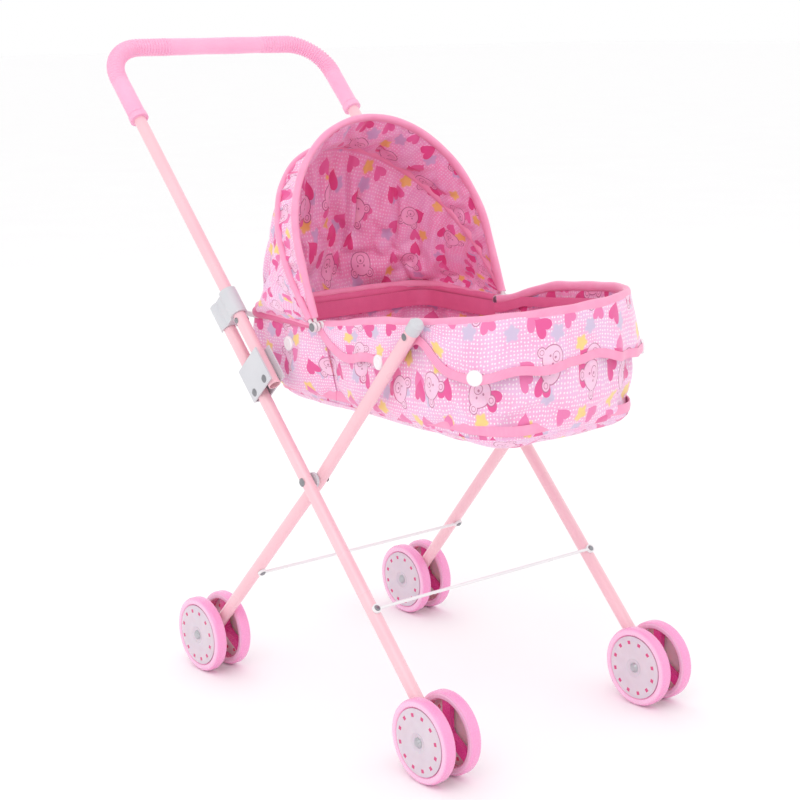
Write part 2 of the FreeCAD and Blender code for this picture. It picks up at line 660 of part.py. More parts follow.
def buttons(y, z, z_top):
    """Snap buttons on both sides of the basket."""
    pair = []
    for _, side in SIDES:
        base = V(side * (wall_x(z, z_top) - BUTTON_SINK), y, z)
        pair.append(Part.makeCone(BUTTON_R, BUTTON_R * 0.6, BUTTON_H, base, V(side, 0, 0)))
    return pair


FOOT_BUTTON_TURN = 26.0       # degrees round the foot end's bend
FOOT_BUTTON_Z = 312.0


def foot_buttons():
    """Snap buttons on the rounded corners of the foot end."""
    turn = math.radians(FOOT_BUTTON_TURN)
    top_r = FRONT_RIM_R - 1.6
    top_z = rim_z(FRONT_RIM_BEND_Y - top_r * math.sin(turn)) - TOP_DROP
    top = V(BASKET_TOP_X - top_r * (1 - math.cos(turn)), FRONT_RIM_BEND_Y - top_r * math.sin(turn), top_z)
    low = V(BASKET_LOW_X - LOW_CORNER * (1 - math.cos(turn)), LOW_FRONT_Y + LOW_CORNER * (1 - math.sin(turn)), BASKET_FLOOR_Z)
    share = (FOOT_BUTTON_Z - low.z) / (top.z - low.z)
    base = low.add(top.sub(low).multiply(share))
    pair = []
    for _, side in SIDES:
        out = V(side * math.cos(turn), -math.sin(turn), 0)
        seat = V(side * base.x, base.y, base.z).sub(V(out).multiply(BUTTON_SINK))
        pair.append(Part.makeCone(BUTTON_R, BUTTON_R * 0.6, BUTTON_H, seat, out))
    return pair


# ---- write every node -------------------------------------------------------------------------
def main():
    """Builds every node and writes its file."""
    front_seats = [(on_leg(side * LEG_X, FRONT_ROD_T), LEG_AHEAD) for _, side in SIDES]
    rear_seats = [rear_rod_seat(side) for _, side in SIDES]
    pivot_reach = LEG_X + TUBE_R
    spacers = []
    scissor = []
    for name, side in SIDES:
        write(name + "_front_leg", front_leg(side))
        write(name + "_rear_leg", rear_leg(side))
        write(name + "_rear_leg_cap", leg_cap(side))
        write(name + "_bracket", bracket(side))
        write(name + "_collar", collar(side))
        inner = REAR_LEG_X_PIVOT - TUBE_R
        scissor.append(rivet_x(side, inner - 0.3, pivot_reach, PIVOT[0], PIVOT[1], RIVET_R, 3.6, 1.2))
        gap = (REAR_LEG_X_PIVOT + TUBE_R + SPACER_PLAY, LEG_X - TUBE_R)
        ring = pin_x(side * gap[0], side * gap[1], PIVOT[0], PIVOT[1], 6.4)
        spacers.append(ring.cut(pin_x(side * gap[0], side * gap[1], PIVOT[0], PIVOT[1], RIVET_R)))
        for place, spot in (("front", FRONT_AXLE), ("rear", REAR_AXLE)):
            at = V(side * LEG_X, spot[0], spot[1])
            write("%s_%s_axle" % (name, place), axle(at))
            for face, out in (("outer", side), ("inner", -side)):
                write("%s_%s_%s_wheel" % (name, place, face), wheel(at, out))
                write("%s_%s_%s_hubcap" % (name, place, face), hubcap(at, out))
    write("crossing_rivets", scissor)
    write("crossing_spacers", spacers)
    write("leg_bracket_rivets", bracket_rivets(0.0))
    write("handle_pivot_rivets", bracket_rivets(HANDLE_OFFSET))
    write("front_cross_rod", cross_rod(front_seats))
    write("front_rod_rivets", rod_rivets(front_seats))
    write("rear_cross_rod", cross_rod(rear_seats))
    write("rear_rod_rivets", rod_rivets(rear_seats))
    write("handle_tube", handle_tube())
    write("handle_grip", handle_grip())
    write("grip_end_rings", grip_rings())
    write("collar_stop_rivets", stop_rivets())
    write("front_rim_wire", front_rim())
    write("rear_rim_wire", rear_rim())
    write("rear_rim_pins", rear_rim_pins())
    write("front_rim_rivets", front_rim_rivets())
    write("middle_rivets", middle_rivets())
    write("canopy_front_bow", bow(FRONT_BOW_X, FRONT_BOW_TOP, FRONT_BOW_LEG, FRONT_LEAN))
    write("canopy_mid_bow", bow(MID_BOW_X, MID_BOW_TOP, MID_BOW_LEG, MID_LEAN))
    write("canopy_front_panel", hood_panel(FRONT_HOOD, HOOD_OVERRUN))
    write("canopy_rear_panel", hood_panel(REAR_HOOD, HOOD_OVERRUN))
    write("basket_front", basket_half(True))
    write("basket_rear", basket_half(False))
    write("front_buttons", buttons(*SIDE_BUTTON, rim_z(SIDE_BUTTON[0])) + foot_buttons())
    write("rear_buttons", buttons(*REAR_BUTTON, MID[1]))


main()
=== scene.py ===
"""Looks of a folding doll stroller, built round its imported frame."""

import json
import logging
import math
from collections.abc import Callable, Sequence
from dataclasses import dataclass
from enum import Enum

import bpy
from mathutils import Matrix, Vector, noise

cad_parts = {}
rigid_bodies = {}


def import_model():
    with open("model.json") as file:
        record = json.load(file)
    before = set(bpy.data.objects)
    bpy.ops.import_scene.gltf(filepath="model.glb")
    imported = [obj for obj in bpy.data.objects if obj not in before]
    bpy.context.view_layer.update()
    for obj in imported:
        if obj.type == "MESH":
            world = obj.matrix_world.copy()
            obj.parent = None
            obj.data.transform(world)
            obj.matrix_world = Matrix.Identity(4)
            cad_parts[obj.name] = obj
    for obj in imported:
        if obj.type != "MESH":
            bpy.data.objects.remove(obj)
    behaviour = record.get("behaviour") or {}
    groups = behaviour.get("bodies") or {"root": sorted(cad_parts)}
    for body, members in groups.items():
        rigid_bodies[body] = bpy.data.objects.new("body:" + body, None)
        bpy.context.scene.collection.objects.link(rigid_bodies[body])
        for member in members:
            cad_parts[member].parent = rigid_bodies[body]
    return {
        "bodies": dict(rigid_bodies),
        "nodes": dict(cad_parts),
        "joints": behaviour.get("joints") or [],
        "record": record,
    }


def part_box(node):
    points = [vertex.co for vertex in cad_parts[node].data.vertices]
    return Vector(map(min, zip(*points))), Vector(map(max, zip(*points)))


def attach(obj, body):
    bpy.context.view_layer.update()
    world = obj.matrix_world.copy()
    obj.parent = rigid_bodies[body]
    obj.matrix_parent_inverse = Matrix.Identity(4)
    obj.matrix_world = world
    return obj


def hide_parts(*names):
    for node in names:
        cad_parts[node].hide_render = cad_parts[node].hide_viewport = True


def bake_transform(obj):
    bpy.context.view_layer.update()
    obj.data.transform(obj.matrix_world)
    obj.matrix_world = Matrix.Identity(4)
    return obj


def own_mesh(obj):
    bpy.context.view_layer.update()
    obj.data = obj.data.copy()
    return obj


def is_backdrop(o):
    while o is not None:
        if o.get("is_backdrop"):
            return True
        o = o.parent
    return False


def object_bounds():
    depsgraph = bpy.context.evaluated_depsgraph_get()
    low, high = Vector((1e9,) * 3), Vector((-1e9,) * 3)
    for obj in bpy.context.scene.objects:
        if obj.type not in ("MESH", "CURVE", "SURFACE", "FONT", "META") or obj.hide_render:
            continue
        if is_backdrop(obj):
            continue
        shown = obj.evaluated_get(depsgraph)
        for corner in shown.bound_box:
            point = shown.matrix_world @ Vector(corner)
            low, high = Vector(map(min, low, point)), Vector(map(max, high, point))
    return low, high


LOG = logging.getLogger("stroller")
MM = 0.001
Point = Callable[[float, float], Vector]
Station = tuple[Vector, Vector, Vector]
Pair = tuple[float, float]
SIDES = (-1, 1)


# ---- small helpers on Blender's own tools ------------------------------------------------
def only(obj: bpy.types.Object) -> bpy.types.Object:
    """Selects one object alone and makes it active; returns it."""
    bpy.ops.object.select_all(action="DESELECT")
    obj.select_set(True)
    bpy.context.view_layer.objects.active = obj
    return obj


def applied(obj: bpy.types.Object, kind: str, **settings: object) -> None:
    """Adds one modifier to an object and applies it.

    Args:
        obj: the mesh object.
        kind: Blender's name of the modifier type.
        settings: the modifier's own settings.
    """
    only(obj)
    modifier = obj.modifiers.new(kind.title(), kind)
    for key, value in settings.items():
        setattr(modifier, key, value)
    bpy.ops.object.modifier_apply(modifier=modifier.name)


def face_away(obj: bpy.types.Object, inside: Vector) -> None:
    """Turns an open sheet's faces away from a point.

    Args:
        obj: the sheet.
        inside: a point on its inner side.
    """
    total = sum((p.center - inside).dot(p.normal) * p.area for p in obj.data.polygons)
    if total < 0:
        only(obj)
        bpy.ops.object.mode_set(mode="EDIT")
        bpy.ops.mesh.select_all(action="SELECT")
        bpy.ops.mesh.flip_normals()
        bpy.ops.object.mode_set(mode="OBJECT")


def sheet_grid(name: str, columns: int, rows: int, place: Point, size: Pair) -> bpy.types.Object:
    """Lays a subdivided grid on a surface and gives it a UV map in metres.

    Args:
        name: the piece's name.
        columns: quads along u.
        rows: quads along v.
        place: point of the surface at u and v, each from 0 to 1.
        size: length of the cloth along u and v, in metres.

    Returns:
        The new object.
    """
    bpy.ops.object.select_all(action="DESELECT")
    bpy.ops.mesh.primitive_grid_add(x_subdivisions=columns, y_subdivisions=rows, size=1.0, calc_uvs=True)
    obj = bpy.context.active_object
    obj.name = name
    where = [(v.co.x + 0.5, v.co.y + 0.5) for v in obj.data.vertices]
    uv = obj.data.uv_layers.active.data
    for loop in obj.data.loops:
        u, v = where[loop.vertex_index]
        uv[loop.index].uv = (u * size[0], v * size[1])
    for vertex, (u, v) in zip(obj.data.vertices, where):
        vertex.co = place(u, v)
    return obj


def smooth(obj: bpy.types.Object, degrees: float = 50.0) -> bpy.types.Object:
    """Shades an object smooth below an angle; returns it."""
    only(obj)
    bpy.ops.object.shade_smooth_by_angle(angle=math.radians(degrees))
    return obj


def thicken(obj: bpy.types.Object, thickness: float, inner_slot: int = 0, subdivide: int = 0) -> None:
    """Gives a sheet its cloth thickness, inwards from its faces.

    Args:
        obj: the sheet.
        thickness: in metres.
        inner_slot: material slots between the outer and the inner face.
        subdivide: subdivision levels that follow.
    """
    applied(obj, "SOLIDIFY", thickness=thickness, offset=-1.0, material_offset=inner_slot)
    if subdivide:
        applied(obj, "SUBSURF", levels=subdivide, render_levels=subdivide)
    smooth(obj, 70.0)


def even_points(corners: Sequence[Vector], count: int) -> list[Vector]:
    """Points spaced evenly along a line of short runs.

    Args:
        corners: the line's points.
        count: number of equal steps.

    Returns:
        count + 1 points.
    """
    reach = [0.0]
    for a, b in zip(corners, corners[1:]):
        reach.append(reach[-1] + (b - a).length)
    points, k = [], 0
    for step in range(count + 1):
        want = reach[-1] * step / count
        while k < len(corners) - 2 and reach[k + 1] < want:
            k += 1
        run = max(reach[k + 1] - reach[k], 1e-12)
        points.append(corners[k].lerp(corners[k + 1], min(1.0, max(0.0, (want - reach[k]) / run))))
    return points


def line_length(points: Sequence[Vector]) -> float:
    """Length of a line of short runs, in metres."""
    return sum((b - a).length for a, b in zip(points, points[1:]))


def stations(points: Sequence[Vector], up: Callable[[int], Vector]) -> list[Station]:
    """Frames along a line.

    Args:
        points: the line's points.
        up: at a point's number, the direction that the ribbon or tube faces.

    Returns:
        Point, facing direction and sideways direction at each point.
    """
    frames = []
    for i, at in enumerate(points):
        along = (points[min(i + 1, len(points) - 1)] - points[max(i - 1, 0)]).normalized()
        face = up(i)
        face = (face - along * face.dot(along)).normalized()
        frames.append((at, face, along.cross(face).normalized()))
    return frames


def ribbon(
    name: str, frames: list[Station], width: float, crown: float, thickness: float
) -> bpy.types.Object:
    """Sews a bias tape along frames: crowned across, with folded edges.

    Args:
        name: the piece's name.
        frames: point, facing direction and sideways direction along the tape.
        width: across the tape.
        crown: how far its middle stands above its edges.
        thickness: of the folded tape.

    Returns:
        The finished mesh object.
    """
    steps = len(frames) - 1

    def place(u: float, v: float) -> Vector:
        at, face, side = frames[round(u * steps)]
        across = 2.0 * v - 1.0
        edge = 0.25 * crown * (abs(across) > 0.7)
        return at + side * (across * width / 2) + face * (crown * (1 - across**2) + edge)

    length = line_length([f[0] for f in frames])
    tape = sheet_grid(name, steps, 8, place, (length, width))
    middle = tape.data.polygons[len(tape.data.polygons) // 2]
    near = min(frames, key=lambda f: (f[0] - middle.center).length)
    if near[1].dot(middle.normal) < 0:
        tape.data.flip_normals()
    thicken(tape, thickness)
    return tape


def tube(
    name: str, frames: list[Station], radii: Callable[[float], Pair], sides: int = 14
) -> bpy.types.Object:
    """Draws a closed tube along frames, with its open ends filled flat.

    Args:
        name: the piece's name.
        frames: point, facing direction and sideways direction along the tube.
        radii: at u from 0 to 1, the tube's radius in the facing and sideways directions.
        sides: faces round it.

    Returns:
        The finished mesh object.
    """
    steps = len(frames) - 1

    def place(u: float, v: float) -> Vector:
        at, face, side = frames[round(u * steps)]
        up, wide = radii(u)
        turn = 2 * math.pi * v
        return at + face * (math.cos(turn) * up) + side * (math.sin(turn) * wide)

    length = line_length([f[0] for f in frames])
    body = sheet_grid(name, steps, sides, place, (length, 2 * math.pi * radii(0.5)[0]))
    only(body)
    bpy.ops.object.mode_set(mode="EDIT")
    bpy.ops.mesh.select_all(action="SELECT")
    bpy.ops.mesh.remove_doubles(threshold=1e-6)
    bpy.ops.mesh.select_all(action="DESELECT")
    bpy.ops.mesh.select_non_manifold(extend=False)
    bpy.ops.mesh.edge_face_add()
    bpy.ops.mesh.select_all(action="SELECT")
    bpy.ops.mesh.normals_make_consistent(inside=False)
    bpy.ops.object.mode_set(mode="OBJECT")
    return smooth(body)


def settle(
    obj: bpy.types.Object,
    held: Callable[[float, float], bool],
    spare: float,
    frames: int,
    bending: float = 0.25,
) -> None:
    """Lets a cloth hang between its held edges, then keeps its new shape.

    Args:
        obj: the sheet, with its UV map in metres.
        held: whether the cloth is held at a UV place, as a share of its size.
        spare: how much longer the cloth is than the surface it was laid on.
        frames: steps of the simulation.
        bending: how stiffly the cloth bends.
    """
    uv = obj.data.uv_layers.active.data
    wide = max(d.uv[0] for d in uv)
    high = max(d.uv[1] for d in uv)
    group = obj.vertex_groups.new(name="held")
    for loop in obj.data.loops:
        u, v = uv[loop.index].uv
        if held(u / wide, v / high):
            group.add([loop.vertex_index], 1.0, "REPLACE")
    only(obj)
    modifier = obj.modifiers.new("Cloth", "CLOTH")
    cloth = modifier.settings
    cloth.vertex_group_mass = "held"
    cloth.quality = 6
    cloth.mass = 0.12
    cloth.tension_stiffness = cloth.compression_stiffness = 12.0
    cloth.shear_stiffness = 4.0
    cloth.bending_stiffness = bending
    cloth.shrink_min = -spare
    modifier.collision_settings.use_collision = False
    modifier.collision_settings.use_self_collision = False
    modifier.point_cache.frame_start = 1
    modifier.point_cache.frame_end = frames
    for frame in range(1, frames + 1):
        bpy.context.scene.frame_set(frame)
    bpy.ops.object.modifier_apply(modifier=modifier.name)
    bpy.context.scene.frame_set(1)
    obj.vertex_groups.clear()


# ---- colours and nodes ---------------------------------------------------------------------
def linear(code: str, alpha: float = 1.0) -> tuple[float, float, float, float]:
    """Linear colour of an sRGB hex value.

    Args:
        code: such as "#F5A9D1".
        alpha: the fourth value.

    Returns:
        Red, green, blue and alpha.
    """
    parts = [int(code[i : i + 2], 16) / 255 for i in (1, 3, 5)]
    lin = [c / 12.92 if c <= 0.04045 else ((c + 0.055) / 1.055) ** 2.4 for c in parts]
    return (lin[0], lin[1], lin[2], alpha)


class Op(Enum):
    """Operations of the two maths nodes."""

    ADD = "ADD"
    SUBTRACT = "SUBTRACT"
    MULTIPLY = "MULTIPLY"
    FLOOR = "FLOOR"
    ABSOLUTE = "ABSOLUTE"
    ROOT = "SQRT"
    LENGTH = "LENGTH"
    DISTANCE = "DISTANCE"
    LEAST = "MINIMUM"
    MOST = "MAXIMUM"
    BELOW = "LESS_THAN"
    ABOVE = "GREATER_THAN"
    SINE = "SINE"
    COSINE = "COSINE"
    TURN = "ARCTAN2"
    SHARE = "FRACT"


Input = float | tuple | bpy.types.NodeSocket
WAVE_SCALE = 0.314  # a wave texture of this scale repeats once per unit


class Recipe:
    """A material under construction."""

    def __init__(self, name: str) -> None:
        """Starts a material with one principled shader."""
        self.material = bpy.data.materials.new(name)
        self.material.use_nodes = True
        self.tree = self.material.node_tree
        self.tree.nodes.clear()
        self.shader = self.add("BsdfPrincipled", {})
        self.add("OutputMaterial", {}, Surface=self.shader.outputs["BSDF"])

    def add(self, kind: str, settings: dict, *inputs: Input, **named: Input) -> bpy.types.Node:
        """Adds a node with its settings and links.

        Args:
            kind: Blender's type name of the node, after ShaderNode.
            settings: attributes of the node; an Enum gives its value.
            inputs: values or sockets for its first inputs.
            named: values or sockets for inputs by name, with _ for a blank.

        Returns:
            The new node.
        """
        node = self.tree.nodes.new("ShaderNode" + kind)
        for key, value in settings.items():
            setattr(node, key, value.value if isinstance(value, Enum) else value)
        pairs = list(enumerate(inputs)) + [(k.replace("_", " "), v) for k, v in named.items()]
        for key, value in pairs:
            if isinstance(value, bpy.types.NodeSocket):
                self.tree.links.new(value, node.inputs[key])
            else:
                node.inputs[key].default_value = value
        return node

    def num(self, op: Op, *inputs: Input) -> bpy.types.NodeSocket:
        """Result of one maths node on numbers."""
        return self.add("Math", {"operation": op}, *inputs).outputs[0]

    def vec(self, op: Op, *inputs: Input) -> bpy.types.NodeSocket:
        """Result of one maths node on vectors, which is a number for a length."""
        node = self.add("VectorMath", {"operation": op}, *inputs)
        return node.outputs["Value" if op in (Op.LENGTH, Op.DISTANCE) else 0]

    def noise(self, at: Input, scale: float, detail: float) -> bpy.types.NodeSocket:
        """Smooth noise from 0 to 1, with a number of features per unit of place."""
        return self.add("TexNoise", {}, Vector=at, Scale=scale, Detail=detail).outputs["Fac"]

    def ramp(self, value: Input, *ends: float) -> bpy.types.NodeSocket:
        """Maps a value from two ends to two others, without going past them."""
        return self.add("MapRange", {}, value, *ends).outputs[0]

    def parts(self, at: Input) -> bpy.types.bpy_prop_collection:
        """The X, Y and Z sockets of a vector."""
        return self.add("SeparateXYZ", {}, at).outputs

    def mixed(self, share: Input, low: Input, high: Input) -> bpy.types.NodeSocket:
        """Colour between two colours; returns its socket."""
        node = self.add("Mix", {"data_type": "RGBA"}, **{"Factor": share})
        for number, value in ((6, low), (7, high)):
            if isinstance(value, bpy.types.NodeSocket):
                self.tree.links.new(value, node.inputs[number])
            else:
                node.inputs[number].default_value = value
        return node.outputs[2]

    def shine(self, **values: Input) -> None:
        """Sets the shader's own sockets by name."""
        for key, value in values.items():
            socket = self.shader.inputs[key.replace("_", " ")]
            if isinstance(value, bpy.types.NodeSocket):
                self.tree.links.new(value, socket)
            else:
                socket.default_value = value

    def relief(self, height: bpy.types.NodeSocket, depth: float, strength: float = 1.0) -> None:
        """Gives the shader a bump of a depth in metres."""
        node = self.add("Bump", {}, Strength=strength, Distance=depth, Height=height)
        self.shine(Normal=node.outputs["Normal"])

    def here(self) -> bpy.types.NodeSocket:
        """Place on the object, in metres."""
        return self.add("TexCoord", {}).outputs["Object"]

    def on_cloth(self) -> bpy.types.NodeSocket:
        """Place on the cloth, in millimetres."""
        uv = self.add("TexCoord", {}).outputs["UV"]
        return self.vec(Op.MULTIPLY, uv, (1 / MM, 1 / MM, 0.0))


# ---- finishes --------------------------------------------------------------------------------
@dataclass(frozen=True)
class Coating:
    """Paint, moulded plastic or plated steel: a skin with fine grain and slight clouding.

    Moulded and coated skins show a soft highlight that breaks up a little over their grain.
    """

    name: str
    colour: str
    shade: str
    rough: float
    metal: float = 0.0
    coat: float = 0.0
    grain_mm: float = 0.8
    grain_depth_mm: float = 0.02
    soft: float = 0.0

    def make(self) -> bpy.types.Material:
        """Returns the finished material."""
        r = Recipe(self.name)
        here = r.here()
        cloud = r.noise(here, 1 / (38 * MM), 3.0)
        grain = r.noise(here, 1 / (self.grain_mm * MM), 2.0)
        rub = r.ramp(cloud, 0.35, 0.7, self.rough - 0.04, self.rough + 0.08)
        r.shine(Base_Color=r.mixed(cloud, linear(self.colour), linear(self.shade)), Roughness=rub)
        r.shine(Metallic=self.metal, Coat_Weight=self.coat, Subsurface_Weight=self.soft)
        r.shader.inputs["Subsurface Radius"].default_value = (0.004, 0.002, 0.002)
        r.relief(grain, self.grain_depth_mm * MM, 0.5)
        return r.material


@dataclass(frozen=True)
class WheelPlastic:
    """Injection-moulded polypropylene wheel: glossy pale tread, and a deep pink centre of spoke and hub.

    The deep pink centre is painted shade and pink light bounced inside the wheel; the tread is paler, and
    its shoulder paler still.
    """

    name: str
    axle: Vector
    rim: float
    tread: str = "#F7A0CF"
    shoulder: str = "#FBC3E2"
    # painted shade: the deep pink of the spoke and hub centre, for shade and bounced light
    shaded_spokes: str = "#F0489F"

    def make(self) -> bpy.types.Material:
        """Returns the finished material."""
        r = Recipe(self.name)
        here = r.here()
        away = r.vec(Op.MULTIPLY, r.vec(Op.SUBTRACT, here, tuple(self.axle)), (0.0, 1.0, 1.0))
        out = r.vec(Op.LENGTH, away)
        # inside this radius the painted shade of the spoke and hub centre takes over
        ring = r.ramp(out, self.rim * 0.80, self.rim * 0.84, 0.0, 1.0)
        edge = r.ramp(out, self.rim * 0.93, self.rim * 0.985, 1.0, 0.0)
        skin = r.mixed(edge, linear(self.tread), linear(self.shoulder))
        r.shine(Base_Color=r.mixed(ring, linear(self.shaded_spokes), skin))
        grain = r.noise(here, 1 / (1.1 * MM), 3.0)
        r.shine(Roughness=r.ramp(grain, 0.3, 0.8, 0.2, 0.34))
        r.shine(Coat_Weight=0.25, Coat_Roughness=0.15, Subsurface_Weight=0.06)
        r.relief(grain, 0.015 * MM, 0.4)
        return r.material


@dataclass(frozen=True)
class CapPlastic:
    """Milky moulded disc with a ring of short printed dashes near its edge."""

    name: str
    axle: Vector
    dash_ring: float
    dashes: int = 12
    dash_share: float = 0.14
    dash_half: float = 1.5 * MM
    milk: str = "#E4D5DE"
    shade: str = "#D6C0CD"
    ink: str = "#D8437F"

    def make(self) -> bpy.types.Material:
        """Returns the finished material."""
        r = Recipe(self.name)
        away = r.vec(Op.SUBTRACT, r.here(), tuple(self.axle))
        parts = r.parts(away)
        out = r.vec(Op.LENGTH, r.vec(Op.MULTIPLY, away, (0.0, 1.0, 1.0)))
        turn = r.num(Op.TURN, parts["Y"], parts["Z"])
        step = r.num(Op.SHARE, r.num(Op.MULTIPLY, turn, self.dashes / (2 * math.pi)))
        aside = r.num(Op.ABSOLUTE, r.num(Op.SUBTRACT, step, 0.5))
        beside = r.num(Op.BELOW, aside, self.dash_share)
        off = r.num(Op.ABSOLUTE, r.num(Op.SUBTRACT, out, self.dash_ring))
        dash = r.num(Op.MULTIPLY, beside, r.num(Op.BELOW, off, self.dash_half))
        cloud = r.noise(away, 1 / (9 * MM), 4.0)
        plain = r.mixed(cloud, linear(self.milk), linear(self.shade))
        rings = r.num(Op.SINE, r.num(Op.MULTIPLY, out, 2 * math.pi / (1.3 * MM)))
        r.shine(Base_Color=r.mixed(dash, plain, linear(self.ink)))
        r.shine(Roughness=0.24, Coat_Weight=0.3, Subsurface_Weight=0.1)
        r.relief(rings, 0.02 * MM, 0.35)
        return r.material


@dataclass(frozen=True)
class PlainTape:
    """Woven polyester bias tape: ribbed across, satin, with soft random patches of painted shade."""

    name: str
    colour: str = "#FAA3C8"
    # colour of the tape in shadow, painted in soft random patches as painted shade
    shade: str = "#F482B3"
    rib_mm: float = 0.9  # drawn coarser than the real 0.4 mm, so that the weave shows

    def make(self) -> bpy.types.Material:
        """Returns the finished material."""
        r = Recipe(self.name)
        on = r.on_cloth()
        cloud = r.noise(on, 0.09, 4.0)
        scale = WAVE_SCALE / self.rib_mm
        ribs = r.add("TexWave", {}, Vector=on, Scale=scale, Distortion=0.6).outputs["Fac"]
        # painted shade: random patches take the colour of the tape in shadow
        tone = r.mixed(cloud, linear(self.shade), linear(self.colour))
        r.shine(Base_Color=r.mixed(r.num(Op.MULTIPLY, ribs, 0.16), tone, linear("#FFFFFF")))
        r.shine(Roughness=0.62, Sheen_Weight=0.35, Sheen_Roughness=0.4)
        r.relief(ribs, 0.09 * MM, 0.6)
        return r.material


class Side(Enum):
    """The two faces of the printed cloth; the inner face is painted deeper, as painted shade."""

    OUTER = "outer"
    INNER = "inner"


@dataclass(frozen=True)
class PrintedCloth:
    """Thin woven polyester with an all-over print of dots, hearts, soft stars and teddy heads.

    The weave is fine and slightly shiny; the inner face is painted with a deeper copy of the print,
    as painted shade and painted light coming through the cloth.
    """

    side: Side
    dot_pitch: float = 2.5
    dot: float = 0.6
    skull: float = 7.6
    ear: float = 3.1
    ear_at: Pair = (6.9, 6.2)
    outline: float = 0.34
    fine_line: float = 0.22
    rings: tuple = ((1.5, (6.9, 6.2), 1.0), (2.6, (0.0, -2.6), 1.25))  # inner ear and muzzle
    marks: tuple = ((0.75, (2.7, 1.2)), (0.85, (0.0, -1.8)))  # eye and nose
    weave_mm: float = 0.9  # drawn coarser than the real 0.25 mm, so that the weave shows

    def palette(self) -> dict[str, str]:
        """Returns the colours of this face; the inner set is the outer print painted deeper, as painted
        shade.
        """
        outer = {
            "ground": "#F7B2D8", "cloud": "#EFC0E2", "dot": "#FDEBF5", "heart": "#E85A9C", "rose": "#EE7DB4",
            "sun": "#F6D488", "mist": "#D3C0DC", "bear": "#F8CCE4", "line": "#BC6A90",
        }
        # painted shade: the inner face's colours are the outer ones made deeper, for shade and light through
        # the cloth
        inner = {
            "ground": "#F7A0CD", "cloud": "#F2AFD8", "dot": "#FCD3E8", "heart": "#E64A90", "rose": "#EB69A8",
            "sun": "#F2BF72", "mist": "#D2AAD2", "bear": "#F6B2D5", "line": "#B0527F",
        }
        return outer if self.side is Side.OUTER else inner

    def cell(self, r: Recipe, on: Input, pitch: float, shift: float, turn: float) -> tuple:
        """Repeats the cloth in square cells, each with its own shift and turn.

        Args:
            r: the material under construction.
            on: place on the cloth, in millimetres.
            pitch: cell size in millimetres.
            shift: offset of the cells, as a share of a cell.
            turn: widest turn of a motif, in radians.

        Returns:
            Place in the cell in millimetres, and three random numbers of the cell.
        """
        scaled = r.vec(Op.MULTIPLY, on, (1 / pitch, 1 / pitch, 0.0))
        scaled = r.vec(Op.ADD, scaled, (shift, shift * 1.7, 0.0))
        corner = r.vec(Op.FLOOR, scaled)
        dice = r.add("TexWhiteNoise", {"noise_dimensions": "3D"}, Vector=corner).outputs["Color"]
        stray, centre = 0.34, 0.33
        jitter = r.vec(Op.MULTIPLY, dice, (stray, stray, 0.0))
        local = r.vec(Op.SUBTRACT, r.vec(Op.SUBTRACT, scaled, corner), (centre, centre, 0.0))
        local = r.vec(Op.MULTIPLY, r.vec(Op.SUBTRACT, local, jitter), (pitch, pitch, 0.0))
        parts = r.parts(dice)
        angle = r.num(Op.MULTIPLY, r.num(Op.SUBTRACT, parts["Z"], 0.5), turn)
        spun = r.add("VectorRotate", {"rotation_type": "Z_AXIS"}, Vector=local, Angle=angle)
        return spun.outputs["Vector"], parts

    def heart(self, r: Recipe, at: Input, half: float) -> bpy.types.NodeSocket:
        """Mask of a heart of a half width in millimetres."""
        parts = r.parts(r.vec(Op.MULTIPLY, at, (1 / half, 1 / half, 0.0)))
        lobe = r.num(Op.ROOT, r.num(Op.ABSOLUTE, parts["X"]))
        tall = r.num(Op.SUBTRACT, r.num(Op.MULTIPLY, parts["Y"], 1.2), lobe)
        both = r.add("CombineXYZ", {}, X=parts["X"], Y=tall).outputs["Vector"]
        return r.num(Op.BELOW, r.vec(Op.LENGTH, both), 1.0)

    def star(self, r: Recipe, at: Input, radius: float) -> bpy.types.NodeSocket:
        """Mask of a soft five-lobed star."""
        parts = r.parts(at)
        lobes, lobe_depth = 5.0, 0.16
        turn = r.num(Op.MULTIPLY, r.num(Op.TURN, parts["Y"], parts["X"]), lobes)
        wave = r.num(Op.MULTIPLY, r.num(Op.COSINE, turn), lobe_depth * radius)
        away = r.num(Op.SUBTRACT, r.vec(Op.LENGTH, at), wave)
        return r.ramp(away, radius * 0.8, radius * 1.1, 1.0, 0.0)

    def spot(self, r: Recipe, at: Input, centre: Pair, squeeze: float = 1.0) -> bpy.types.NodeSocket:
        """Distance from a point of the motif, in millimetres.

        Args:
            r: the material under construction.
            at: place in the motif.
            centre: the point.
            squeeze: how much less a sideways step counts.

        Returns:
            The distance's socket.
        """
        moved = r.vec(Op.SUBTRACT, at, (centre[0], centre[1], 0.0))
        return r.vec(Op.LENGTH, r.vec(Op.MULTIPLY, moved, (1 / squeeze, 1.0, 0.0)))

    def teddy(self, r: Recipe, at: Input) -> tuple:
        """Line drawing of a plain teddy's head.

        Args:
            r: the material under construction.
            at: place in the motif.

        Returns:
            Masks of the head's inside and of its lines.
        """
        mirrored = r.vec(Op.ABSOLUTE, at)
        keep_y = r.parts(at)["Y"]
        side_x = r.parts(mirrored)["X"]
        half = r.add("CombineXYZ", {}, X=side_x, Y=keep_y).outputs["Vector"]
        skull = r.num(Op.SUBTRACT, self.spot(r, half, (0.0, 0.0), 1.12), self.skull)
        ear = self.spot(r, half, self.ear_at)
        head = r.num(Op.LEAST, skull, r.num(Op.SUBTRACT, ear, self.ear))
        line = r.num(Op.BELOW, r.num(Op.ABSOLUTE, head), self.outline)
        for radius, centre, squeeze in self.rings:
            ring = r.num(Op.ABSOLUTE, r.num(Op.SUBTRACT, self.spot(r, half, centre, squeeze), radius))
            line = r.num(Op.MOST, line, r.num(Op.BELOW, ring, self.fine_line))
        for radius, centre in self.marks:
            line = r.num(Op.MOST, line, r.num(Op.BELOW, self.spot(r, half, centre), radius))
        return r.num(Op.BELOW, head, 0.0), line

